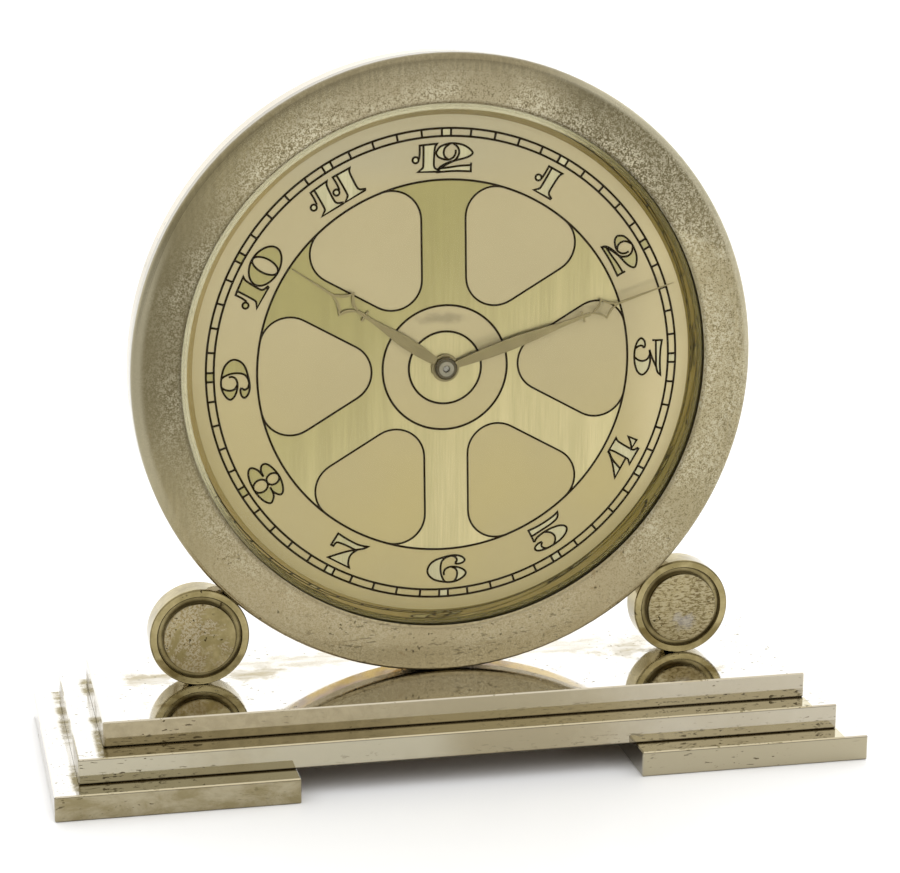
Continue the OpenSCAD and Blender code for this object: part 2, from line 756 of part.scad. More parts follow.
// Movement plates and pillars
module front_plate() {
  color("#c2a45e") {
    slice(case_back_y, front_y) difference() {
      circle(move_r);
      translate(barrel_p) circle(barrel_arbor_r + run);
      circle(arbor_r + run);
      for (t = train_pivots) translate(t[0]) circle(t[1] + run);
      for (p = [pallet_p, balance_p]) translate(p) circle(fine_r + run);
      translate(setting_p) circle(arbor_r + run);
      for (a = move_screw_dirs) translate(polar(move_screw_at, a)) circle(small_r + screw_fit);
      for (a = pillar_dirs) translate(polar(pillar_at, a)) circle(small_r + screw_fit);
      translate(pallet_foot_p) circle(small_r + screw_fit);
    }
    rod(minute_p, hour_wheel_y - 0.3, case_back_y, stud_r);
  }
}
module movement_screws() {
  color("#8d8672") for (a = move_screw_dirs)
    screw(polar(move_screw_at, a), web_y + 0.2, front_y, small_r, small_head_r, small_head_h);
}
module back_plate() {
  color("#c2a45e") slice(back_y, back_face_y) difference() {
    circle(move_r);
    translate(barrel_p) circle(barrel_arbor_r + run);
    circle(pivot_r + run);
    for (t = train_pivots) translate(t[0]) circle(t[1] + run);
    translate(setting_p) circle(arbor_r + run);
    translate(balance_p) circle(window_r);
    translate(cock_foot_p) circle(small_r + screw_fit);
    for (p = [click_p, click_foot_p]) translate(p) circle(small_r + screw_fit);
    for (a = pillar_dirs) translate(polar(pillar_at, a)) circle(small_r + screw_fit);
  }
}
module pillars() {
  color("#c2a45e") for (a = pillar_dirs) tube(polar(pillar_at, a), front_y, back_y, pillar_r, small_r + fit);
}
module pillar_screws() {
  color("#8d8672") for (a = pillar_dirs) {
    screw(polar(pillar_at, a), back_y - 2.5, back_face_y, small_r, small_head_r, small_head_h);
    rod(polar(pillar_at, a), case_back_y, front_y + 2.5, small_r);
  }
}

// Barrel and winding
module barrel() {
  color("#c9a856") difference() {
    union() {
      slice(barrel_y, barrel_y + barrel_rim_t) translate(barrel_p)
        wheel_outline(barrel_z, barrel_m, barrel_dir + 180);
      rod(barrel_p, barrel_y + barrel_rim_t, barrel_end_y, barrel_r);
    }
    rod(barrel_p, barrel_y + 0.6, barrel_end_y + 1, barrel_in_r);
    rod(barrel_p, barrel_end_y - barrel_lid_t, barrel_end_y + 1, barrel_lid_r);
    rod(barrel_p, barrel_y - 1, barrel_y + 2, barrel_arbor_r + run);
  }
}
module barrel_cover() {
  color("#c9a856") tube(barrel_p, barrel_end_y - barrel_lid_t, barrel_end_y, barrel_lid_r,
    barrel_arbor_r + run);
}
module mainspring() {
  r0 = core_r + 0.3;
  r1 = barrel_in_r - spring_t - 0.1;
  n = spring_turns * 24;
  color("#4c5560") slice(barrel_y + 0.9, barrel_end_y - 0.9) translate(barrel_p)
    polygon(concat([for (i = [0:n]) polar(r0 + (r1 - r0) * i / n, i * 15)],
      [for (i = [n:-1:0]) polar(r0 + spring_t + (r1 - r0) * i / n, i * 15)]));
}
module barrel_arbor() {
  color("#8b9096") {
    rod(barrel_p, case_back_y + 0.1, key_seat_y, barrel_arbor_r);
    rod(barrel_p, barrel_y + 0.7, barrel_end_y - 0.7, core_r);
    slice(ratchet_y, ratchet_y + ratchet_t + 0.3) translate(barrel_p)
      square(ratchet_square, center = true);
    slice(key_seat_y, key_end_y) translate(barrel_p) square(key_square, center = true);
  }
}
module ratchet_wheel() {
  step = 360 / ratchet_z;
  turn = nose_dir - 0.95 * step;
  color("#8b9096") slice(ratchet_y, ratchet_y + ratchet_t) translate(barrel_p) difference() {
    polygon([for (i = [0:ratchet_z - 1]) for (s = [[ratchet_r - ratchet_deep, 0], [ratchet_r, 0.95]])
      polar(s[0], turn + (i + s[1]) * step)]);
    square(ratchet_square + 0.04, center = true);
  }
}
click_boss = 1.5;
nose_out_p = barrel_p + polar(ratchet_r + 1, nose_dir + 1.6);
click_side = click_dir - 46.6;
module click() {
  nose_in_p = barrel_p + polar(ratchet_r - ratchet_deep + 0.15, nose_dir + 1.6);
  heel_p = barrel_p + polar(ratchet_r + 0.25, nose_dir + 0.85 * 360 / ratchet_z);
  color("#8b9096") slice(ratchet_y, ratchet_y + ratchet_t) difference() {
    union() {
      translate(click_p) circle(click_boss);
      polygon([nose_in_p, nose_out_p, click_p + polar(click_boss, click_side),
        click_p - polar(click_boss, click_side), heel_p]);
    }
    translate(click_p) circle(small_r + run);
  }
}
module click_spring() {
  leaf_t = 0.35;
  side_p = click_p + polar(click_boss, click_side);
  leaf_end = nose_out_p + 0.35 * (side_p - nose_out_p) + polar(leaf_t / 2 + fit, click_side);
  color("#5d6a86") slice(ratchet_y, ratchet_y + 0.7) difference() {
    union() {
      translate(click_foot_p) circle(1.7);
      bar(click_foot_p, leaf_end, leaf_t);
    }
    translate(click_foot_p) circle(small_r + fit);
  }
}
key_seat_y = rear_y + 0.5;
key_end_y = key_seat_y + 4;
module winding_key() {
  wing_r = 2.2;
  reach = key_w / 2 - wing_r;
  hub = 2 * barrel_arbor_r + 0.4;
  top_y = rear_y + key_h;
  color("#b9a878") difference() {
    union() {
      rod(barrel_p, key_seat_y, key_end_y, hub);
      translate([barrel_p[0], 0, axis_z + barrel_p[1] - key_t / 2]) linear_extrude(key_t) {
        translate([-key_w / 2, top_y - 2 * wing_r]) square([key_w, wing_r]);
        for (s = [-1, 1]) translate([s * reach, top_y - wing_r]) circle(wing_r);
        translate([-hub * 0.8, key_seat_y + 1.5]) square([1.6 * hub, top_y - wing_r - key_seat_y - 1.5]);
      }
    }
    slice(key_seat_y - 1, key_end_y + 0.1) translate(barrel_p) square(key_square + 0.04, center = true);
  }
}

// Going train
module intermediate_wheel() {
  color("#c9a856") train_wheel(inter_p, inter_y, inter_z, inter_m, inter_dir + 180, inter_arbor_r);
}
module intermediate_arbor() {
  color("#8b9096") train_arbor(inter_p, inter_leaves, barrel_m, gap_turn(barrel_dir, inter_leaves),
    inter_y + wheel_t, barrel_y + barrel_rim_t + 0.3);
}
module centre_wheel() {
  color("#c9a856") train_wheel([0, 0], centre_y, centre_z, centre_m, third_dir, arbor_r);
}
module centre_arbor() {
  color("#8b9096") {
    slice(inter_y - 0.2, inter_y + wheel_t + 0.2)
      pinion_outline(centre_leaves, inter_m, gap_turn(inter_dir, centre_leaves));
    rod([0, 0], min_hand_y - 0.1, back_y - endshake, arbor_r);
    rod([0, 0], back_y - 0.2, back_face_y - 0.1, pivot_r);
  }
}
module third_wheel() {
  color("#c9a856") train_wheel(third_p, third_y, third_z, third_m, fourth_dir, third_arbor_r);
}
module third_arbor() {
  color("#8b9096") train_arbor(third_p, small_leaves, centre_m, gap_turn(third_dir + 180, small_leaves),
    centre_y - 0.3, centre_y + wheel_t + 0.2);
}
module fourth_wheel() {
  color("#c9a856") train_wheel(fourth_p, fourth_y, fourth_z, fourth_m, escape_dir, fourth_arbor_r);
}
module fourth_arbor() {
  color("#8b9096") train_arbor(fourth_p, small_leaves, third_m, gap_turn(fourth_dir + 180, small_leaves),
    third_y - 0.3, third_y + wheel_t + 0.3);
}
module escape_arbor() {
  color("#8b9096") train_arbor(escape_p, escape_leaves, fourth_m, gap_turn(escape_dir + 180, escape_leaves),
    fourth_y - 0.3, fourth_y + wheel_t + 0.3);
}

// Escapement
module escape_wheel() {
  root = 0.74 * escape_r;
  step = 360 / escape_z;
  color("#c9a856") slice(escape_y, escape_y + fork_t) translate(escape_p) difference() {
    polygon([for (i = [0:escape_z - 1]) for (s = [[root, 0], [escape_r, 0.42], [escape_r, 0.5], [root, 0.55]])
      polar(s[0], escape_dir + (i + s[1]) * step)]);
    circle(escape_arbor_r);
    crossed(0.6 * escape_r, escape_arbor_r + 0.6, 4, 0.5);
  }
}
module bar(a, b, w) {
  side = [-(b - a)[1], (b - a)[0]] / norm(b - a) * w / 2;
  polygon([a - side, b - side, b + side, a + side]);
}
module pallet_fork() {
  stone_r = escape_r + 0.32;
  stone_h = 1.1;
  span = 32;
  horn = 0.62;
  reach = fork_c - 0.95;
  dir = escape_dir;
  across = dir + 90;
  crotch = pallet_p + polar(reach - 0.45, dir);
  color("#8b9096") slice(escape_y, escape_y + fork_t) difference() {
    union() {
      translate(pallet_p) circle(0.9);
      bar(pallet_p, crotch, 0.6);
      for (s = [-1, 1]) {
        stone_dir = dir + s * span;
        bar(pallet_p, escape_p + polar(stone_r + stone_h / 2, stone_dir), 0.5);
        bar(escape_p + polar(stone_r, stone_dir), escape_p + polar(stone_r + stone_h, stone_dir), 0.5);
        bar(crotch, crotch + polar(horn, across) * s + polar(0.25, dir), 0.35);
        bar(crotch + polar(horn, across) * s, crotch + polar(horn, across) * s + polar(0.9, dir), 0.35);
      }
    }
    translate(pallet_p) circle(pallet_arbor_r);
  }
}
module pallet_arbor() {
  color("#8b9096") {
    rod(pallet_p, front_y + endshake, pallet_cock_y - endshake, pallet_arbor_r);
    rod(pallet_p, front_y - move_t + 0.1, pallet_cock_y + pallet_cock_t - 0.1, fine_r);
  }
}
module pallet_cock() {
  span = norm(pallet_foot_p - pallet_p);
  color("#c2a45e") difference() {
    union() {
      rod(pallet_foot_p, front_y, pallet_cock_y + pallet_cock_t, 1.4);
      slice(pallet_cock_y, pallet_cock_y + pallet_cock_t) translate(pallet_p) {
        circle(1.2);
        rotate(escape_dir + 90) translate([0, -1]) square([span, 2]);
      }
    }
    rod(pallet_p, front_y, back_y, fine_r + run);
    rod(pallet_foot_p, front_y - 1, back_y, small_r + fit);
  }
}
module balance_wheel() {
  color("#c9a856") slice(balance_y, balance_y + balance_t) translate(balance_p) {
    difference() {
      circle(balance_r);
      circle(balance_r - balance_rim);
    }
    rotate(escape_dir + 90) difference() {
      union() {
        translate([-balance_r + balance_rim / 2, -0.5]) square([2 * balance_r - balance_rim, 1]);
        circle(1.3);
      }
      circle(staff_r);
    }
  }
}
module balance_staff() {
  roller_y0 = escape_y + fork_t + 0.75;
  color("#8b9096") {
    rod(balance_p, front_y + endshake, cock_y - 0.2, staff_r);
    rod(balance_p, front_y - move_t + 0.1, cock_y + cock_t - 0.1, fine_r);
    rod(balance_p, roller_y0, roller_y0 + 0.5, 1.5);
    rod(balance_p - polar(1.1, escape_dir), roller_y0 - 0.35, roller_y0, 0.18);
    rod(balance_p, hair_y - 0.2, hair_y + 0.6, 0.85);
  }
}
module hairspring() {
  r0 = 0.95;
  n = hair_turns * 24;
  color("#5d6a86") slice(hair_y, hair_y + 0.4) translate(balance_p)
    polygon(concat([for (i = [0:n]) polar(r0 + (hair_r - r0) * i / n, balance_dir + i * 15)],
      [for (i = [n:-1:0]) polar(r0 + hair_t + (hair_r - r0) * i / n, balance_dir + i * 15)]));
}
cock_boss_r = 1;
module balance_cock() {
  arm_w = 3.2;
  color("#c2a45e") difference() {
    union() {
      slice(cock_y, cock_y + cock_t) {
        translate(balance_p) {
          circle(2.4);
          rotate(balance_dir) translate([0, -arm_w / 2]) square([cock_foot_c, arm_w]);
        }
        translate(cock_foot_p) circle(2.6);
      }
      rod(balance_p, cock_y, regulator_y + regulator_t + 0.2, cock_boss_r);
      rod(balance_p + polar(hair_r + 0.22, balance_dir), hair_y, cock_y + 0.5, 0.45);
    }
    rod(balance_p, cock_y - 1, regulator_y + 3, fine_r + run);
    rod(cock_foot_p, cock_y - 1, cock_y + cock_t + 1, small_r + screw_fit);
    slice(hair_y - 1, hair_y + 0.5) translate(balance_p) circle(hair_r + hair_t);
  }
}
module bridge_screws() {
  color("#8d8672") {
    screw(cock_foot_p, back_y + 0.1, cock_y + cock_t, small_r, small_head_r, small_head_h);
    screw(pallet_foot_p, case_back_y + 0.1, pallet_cock_y + pallet_cock_t, small_r, small_head_r,
      bridge_head_h);
    screw(click_p, back_y + 0.1, ratchet_y + ratchet_t + 0.1, small_r, small_head_r, bridge_head_h);
    screw(click_foot_p, back_y + 0.1, ratchet_y + 0.7, small_r, small_head_r, bridge_head_h);
  }
}
regulator_dir = balance_dir + 90;
module regulator() {
  color("#8b9096") slice(regulator_y + 0.1, regulator_y + 0.1 + regulator_t) translate(balance_p) difference() {
    union() {
      circle(1.9);
      rotate(regulator_dir) translate([0, -0.45]) square([regulator_len, 0.9]);
    }
    circle(cock_boss_r + run);
  }
}

// Motion work and hands
stud_r = 0.5;
module cannon_pinion() {
  color("#8b9096") difference() {
    union() {
      slice(minute_wheel_y - 0.3, minute_wheel_y + minute_t + 0.3)
        pinion_outline(cannon_leaves, minute_m, gap_turn(minute_dir, cannon_leaves));
      slice(min_hand_y, minute_wheel_y) circle(pipe_r);
    }
    slice(min_hand_y - 1, case_back_y) circle(pipe_in_r);
  }
}
module minute_wheel() {
  bore = stud_r + run;
  color("#c9a856") {
    slice(minute_wheel_y, minute_wheel_y + minute_t) translate(minute_p) difference() {
      wheel_outline(minute_z, minute_m, minute_dir + 180);
      circle(bore);
    }
    slice(hour_wheel_y - 0.1, minute_wheel_y) translate(minute_p) difference() {
      pinion_outline(minute_leaves, hour_m, gap_turn(minute_dir + 180, minute_leaves));
      circle(bore);
    }
  }
}
module hour_wheel() {
  color("#c9a856") difference() {
    union() {
      slice(hour_wheel_y, hour_wheel_y + minute_t) wheel_outline(hour_z, hour_m, minute_dir);
      slice(hour_hand_y, hour_wheel_y) circle(hour_pipe_r);
    }
    slice(hour_hand_y - 1, hour_wheel_y + 2) circle(hour_in_r);
  }
}

// Diamond with sides that curve inward, from s0 to s1 along the hand
function bowed(a, b, bow, n) = [for (i = [0:n - 1]) let (t = i / n, q = a + (b - a) * t,
  inward = [-(b - a)[1], (b - a)[0]] / norm(b - a)) q + inward * bow * 4 * t * (1 - t)];
function diamond(s0, s1, w, bow) = let (mid = s0 + 0.45 * (s1 - s0)) concat(
  bowed([s0, 0], [mid, -w / 2], bow, 6), bowed([mid, -w / 2], [s1, 0], bow, 6),
  bowed([s1, 0], [mid, w / 2], bow, 6), bowed([mid, w / 2], [s0, 0], bow, 6));
// Half width of the leaf-shaped blade, at the share t of its length
blade_peak = 0.45;
function blade_half(t) = (t < blade_peak
  ? blade_root_w + (blade_w - blade_root_w) * sin(90 * t / blade_peak)
  : neck_w + (blade_w - neck_w) * (1 + cos(180 * (t - blade_peak) / (1 - blade_peak))) / 2) / 2;
function leaf(len, n) = concat([for (i = [0:n]) [len * i / n, -blade_half(i / n)]],
  [for (i = [n:-1:0]) [len * i / n, blade_half(i / n)]]);
module hand_outline(len, cross_at, dia_w, rib, boss, bore) {
  dia_at = cross_at + 1.15;
  dia_end = dia_at + dia_len;
  needle_at = dia_end - 1.2 * rib;
  needle_w = 0.5;
  tip_w = 0.16;
  bar = 0.5;
  bow = 0.5;
  difference() {
    union() {
      circle(boss);
      polygon(leaf(cross_at, 20));
      translate([cross_at - 0.1, -neck_w / 2]) square([dia_at + rib - cross_at + 0.1, neck_w]);
      translate([cross_at - bar / 2, -cross_w / 2]) square([bar, cross_w]);
      polygon(diamond(dia_at, dia_end, dia_w, bow));
      polygon([[needle_at, -needle_w / 2], [len, -tip_w / 2], [len, tip_w / 2], [needle_at, needle_w / 2]]);
    }
    polygon(diamond(dia_at + rib * 1.5, dia_end - rib * 1.5, dia_w - rib * 2.2, bow));
    circle(bore);
  }
}
hour_cross_at = 0.53 * hour_len;
min_cross_at = 0.6 * min_len;
module hour_hand() {
  color("#b5a67c") slice(hour_hand_y, hour_hand_y + hand_t) rotate(90 - hour_angle)
    hand_outline(hour_len, hour_cross_at, hour_dia_w, hour_rib, hour_boss_r, hour_pipe_r);
}
module minute_hand() {
  color("#b5a67c") slice(min_hand_y, min_hand_y + hand_t) rotate(90 - min_angle)
    hand_outline(min_len, min_cross_at, min_dia_w, min_rib, collet_r, pipe_r);
}
module hand_collet() {
  color("#b3ab93") turned([[arbor_r + run, collet_y], [collet_r - 0.25, collet_y],
    [collet_r, collet_y + 0.25], [collet_r, min_hand_y], [arbor_r + run, min_hand_y]]);
}

// Setting
module setting_arbor() {
  color("#8b9096") {
    slice(minute_wheel_y - 0.1, minute_wheel_y + minute_t + 0.1) translate(setting_p)
      pinion_outline(cannon_leaves, minute_m, gap_turn(setting_dir + 180, cannon_leaves));
    rod(setting_p, minute_wheel_y - 0.4, rear_y + 1.5, arbor_r);
  }
}
module setting_knob() {
  grips = 24;
  grip = 0.35;
  knob_y = rear_y + 0.5;
  color("#b9a878") difference() {
    union() {
      slice(knob_y + 0.8, knob_y + knob_h) translate(setting_p)
        polygon([for (i = [0:grips - 1]) for (s = [[0, 0], [grip, 0.35], [grip, 0.6]])
          polar(knob_d / 2 - s[0], (i + s[1]) * 360 / grips)]);
      rod(setting_p, knob_y, knob_y + 0.8, knob_d / 2 - 1);
    }
    rod(setting_p, knob_y - 1, rear_y + 1.5, arbor_r);
  }
}

foot_left();
foot_right();
middle_plate();
top_plate();
base_screws();
roller_left();
roller_right();
roller_screws();
case_screw();
anchor_block();
case_pan();
bezel();
glass();
sight_ring();
dial();
dial_screws();
rear_housing();
housing_screws();
rear_cover();
cover_screws();
movement_screws();
front_plate();
back_plate();
pillars();
pillar_screws();
barrel();
barrel_cover();
mainspring();
barrel_arbor();
ratchet_wheel();
click();
click_spring();
intermediate_wheel();
intermediate_arbor();
centre_wheel();
centre_arbor();
third_wheel();
third_arbor();
fourth_wheel();
fourth_arbor();
escape_wheel();
escape_arbor();
pallet_fork();
pallet_arbor();
pallet_cock();
balance_wheel();
balance_staff();
hairspring();
balance_cock();
bridge_screws();
regulator();
cannon_pinion();
minute_wheel();
hour_wheel();
hour_hand();
minute_hand();
hand_collet();
winding_key();
setting_arbor();
setting_knob();
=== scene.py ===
# Desk clock: finishes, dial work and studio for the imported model.
import json
import math

import bmesh
import bpy
from mathutils import Matrix, Vector


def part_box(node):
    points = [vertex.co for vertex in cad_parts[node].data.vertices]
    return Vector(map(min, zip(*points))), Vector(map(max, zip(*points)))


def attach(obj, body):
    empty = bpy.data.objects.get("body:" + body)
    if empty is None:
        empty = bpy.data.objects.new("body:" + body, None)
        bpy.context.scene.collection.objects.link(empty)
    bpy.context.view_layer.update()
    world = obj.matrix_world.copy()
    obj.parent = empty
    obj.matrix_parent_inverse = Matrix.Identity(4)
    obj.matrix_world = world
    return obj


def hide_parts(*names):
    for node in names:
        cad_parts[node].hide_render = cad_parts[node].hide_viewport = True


bl_info = {
    "name": "Desk Clock",
    "version": (1, 0, 0),
    "blender": (4, 5, 0),
    "location": "View3D > Sidebar > Clock",
    "description": "Dresses a desk clock with its finishes, engraved dial and numerals",
    "category": "Object",
}

MM = 0.001
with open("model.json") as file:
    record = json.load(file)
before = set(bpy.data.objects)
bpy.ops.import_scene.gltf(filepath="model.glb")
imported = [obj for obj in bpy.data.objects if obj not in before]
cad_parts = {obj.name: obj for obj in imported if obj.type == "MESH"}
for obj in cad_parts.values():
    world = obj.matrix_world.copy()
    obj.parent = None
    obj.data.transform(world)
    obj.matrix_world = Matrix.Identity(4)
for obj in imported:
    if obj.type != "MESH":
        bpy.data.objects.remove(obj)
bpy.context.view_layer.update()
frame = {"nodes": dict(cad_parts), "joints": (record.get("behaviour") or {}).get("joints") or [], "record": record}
FRAME_BODY = "clock_frame"
JOINT_AT = {j["name"]: Vector(j["pos_m"]) for j in frame["joints"]}
AXIS = JOINT_AT["minute_hand_turn"]
DIAL_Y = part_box("dial")[0].y
SLOT_OF = {s["node"]: s["material_slot"] for s in frame["record"]["subparts"]}
HANDS = ("hour_hand", "minute_hand", "hand_collet")
ON_DIAL = (
    "dial_spokes",
    "dial_eye",
    "dial_lines",
    "minute_lines",
    "hour_cells",
    "numeral_lines",
    "numeral_fields",
)
# How far the work on the dial reaches into the dial's face
SINK = 0.04 * MM
WHEEL_SPOKES = 6

# Directions that faces look in
TOP, UNDER = (0, 0, 1), (0, 0, -1)
FRONT, REAR, LEFT = (0, -1, 0), (0, 1, 0), (-1, 0, 0)
FRONT_CORNER = (0, -0.7071, 0.7071)

# Tones that the finishes lay over the colours of the panel; those named lit, highlight, reflection or shadow are
# painted light and shade
FRONT_REFLECTION_WARM = (0.335, 0.29, 0.19)
FRONT_REFLECTION_PALE = (0.49, 0.455, 0.38)
MIDDLE_REFLECTION_PALE = (0.465, 0.43, 0.325)
FOOT_REFLECTION_PALE = (0.385, 0.34, 0.23)
FOOT_DULL = (0.235, 0.195, 0.10)
LEDGE_REFLECTION = (0.49, 0.435, 0.265)
OLIVE_FILM_AND_REFLECTION = (0.30, 0.235, 0.085)
MOSSY_FILM = (0.21, 0.165, 0.05)
OLIVE_FLECK = (0.12, 0.095, 0.022)
BEZEL_TOP_REFLECTION = (0.315, 0.267, 0.160)
BEZEL_LOW_REFLECTION = (0.335, 0.277, 0.158)
BEZEL_HIGHLIGHT = (0.37, 0.315, 0.18)
ROLLER_PALE = (0.385, 0.32, 0.16)
ROLLER_DARK = (0.24, 0.195, 0.085)
ROLLER_STREAK = (0.45, 0.39, 0.24)
ROLLER_WORN = (0.42, 0.37, 0.26)
ROLLER_HIGHLIGHT = (0.40, 0.39, 0.40)
HEAT_GOLD = (0.74, 0.54, 0.18)
HEAT_MAUVE = (0.45, 0.36, 0.36)
NUMERAL_POLISH_LIT = (0.56, 0.50, 0.32)
ARBOR_END = (0.16, 0.14, 0.10)
FLOOR_PALE = ((0.94, 0.94, 0.945), (0.96, 0.96, 0.965))
FLOOR_PAINTED_SHADOW = (0.60, 0.46, 0.30)


# Sizes and colours that a user would change


def length(name, description, default):
    return bpy.props.FloatProperty(
        name=name, description=description, default=default, unit="LENGTH", precision=5
    )


def turn(name, description, degrees):
    return bpy.props.FloatProperty(
        name=name, description=description, default=math.radians(degrees), unit="ROTATION"
    )


def colour(name, description, default):
    return bpy.props.FloatVectorProperty(
        name=name, description=description, default=default, size=3, subtype="COLOR", min=0, max=1
    )


class DialSizes(bpy.types.PropertyGroup):
    rim_radius: length("Wheel rim", "Radius of the engraved wheel's rim", 39.05 * MM)
    hub_radius: length("Hub", "Radius of the larger hub circle", 13.1 * MM)
    eye_radius: length("Eye", "Radius of the smaller hub circle", 7.6 * MM)
    spoke_width: length("Spoke width", "Width of each spoke of the engraved wheel", 9.2 * MM)
    window_inner: length("Inner corner", "Rounding of the windows toward the hub", 6.2 * MM)
    window_outer: length("Outer corner", "Rounding of the windows toward the rim", 6.2 * MM)
    track_radius: length("Track radius", "Outer radius of the minute track", 49.5 * MM)
    track_width: length("Track width", "Width of the minute track", 1.6 * MM)
    line_width: length("Line width", "Width of the enamelled lines", 0.46 * MM)
    numeral_radius: length("Numeral radius", "From the dial's centre to its numerals", 43.35 * MM)
    polish_height: length("Polish height", "Polished fields above the matt ground", 0.03 * MM)
    ink_height: length("Ink height", "Enamelled lines above the matt ground", 0.06 * MM)
    hour_cell: turn("Hour cell", "Angle between the two lines at each hour", 2.2)
    wheel_turn: turn("Wheel turn", "How far the engraved wheel is turned from upright", 0.95)


class Colours(bpy.types.PropertyGroup):
    nickel: colour("Nickel", "Clean polished nickel plate", (0.47, 0.42, 0.31))
    # Worn nickel, and also the painted reflection of the rollers in the deck
    nickel_worn_and_shade: colour("Worn nickel", "Nickel that brass shows through", (0.36, 0.30, 0.18))
    # Painted reflection on the tops, and at half strength painted shade on faces that look left
    nickel_painted_sheen: colour("Flat nickel", "Tops, which mirror the pale room", (0.75, 0.735, 0.70))
    nickel_side: colour("Case nickel", "Nickel of the drum and the rear", (0.46, 0.405, 0.29))
    # Tarnish, and also painted shade on undersides, at the bezel's edges and under the sight ring's lip, and the
    # sight ring's painted reflection of the minute track
    tarnish_and_shade: colour("Tarnish", "Dark spots and stains", (0.055, 0.04, 0.018))
    stain: colour("Stain", "Brown film beside the joints", (0.24, 0.17, 0.08))
    bezel_dark: colour("Bezel ground", "Ground between the specks", (0.232, 0.196, 0.107))
    # Also the painted highlights at the bezel's edges
    bezel_light: colour("Bezel specks", "Pale specks on the bezel", (0.57, 0.525, 0.38))
    dial_matt: colour("Dial ground", "Matt champagne of the dial", (0.450, 0.367, 0.213))
    # The brushed polish in a shaded and a lit copy: painted shade and painted light
    dial_polish: colour("Dial polish", "Brushed fields, upper left", (0.375, 0.32, 0.135))
    dial_polish_lit: colour("Dial polish, lit", "Brushed fields, lower right", (0.61, 0.515, 0.285))
    ink: colour("Ink", "Enamel in the engraved lines", (0.010, 0.006, 0.002))
    gilt: colour("Gilt", "Sight ring inside the bezel", (0.49, 0.435, 0.285))
    gilt_shade: colour("Gilt, shaded", "Right side of the sight ring", (0.35, 0.30, 0.125))
    # Painted shade on the sight ring's rim
    gilt_rim_shade: colour("Gilt, rim", "Sight ring's rim, right and low", (0.120, 0.091, 0.023))
    brass: colour("Brass", "Movement plates and wheels", (0.80, 0.62, 0.30))
    hand: colour("Hands", "Pale brass of the hands", (0.29, 0.235, 0.12))
    steel: colour("Steel", "Arbors, screws and clickwork", (0.60, 0.60, 0.60))
    blued: colour("Blued steel", "Springs", (0.06, 0.09, 0.22))


# Small builders for node trees


def shade(tone, share):
    """A colour made darker, or lighter by a share over 1."""
    return [v * share for v in tone]


def add_node(tree, kind, inputs=None, **settings):
    """A new node with its settings; an input is a value or the output of another node."""
    made = tree.nodes.new(kind)
    for key, value in settings.items():
        setattr(made, key, value)
    for key, value in (inputs or {}).items():
        feed(tree, made.inputs[key], value)
    return made


def feed(tree, socket, value):
    """Links an output to a socket, or sets the socket's value; a colour gets its opacity."""
    if isinstance(value, bpy.types.NodeSocket):
        tree.links.new(value, socket)
    elif socket.type == "RGBA":
        socket.default_value = (*value, 1)
    else:
        socket.default_value = value


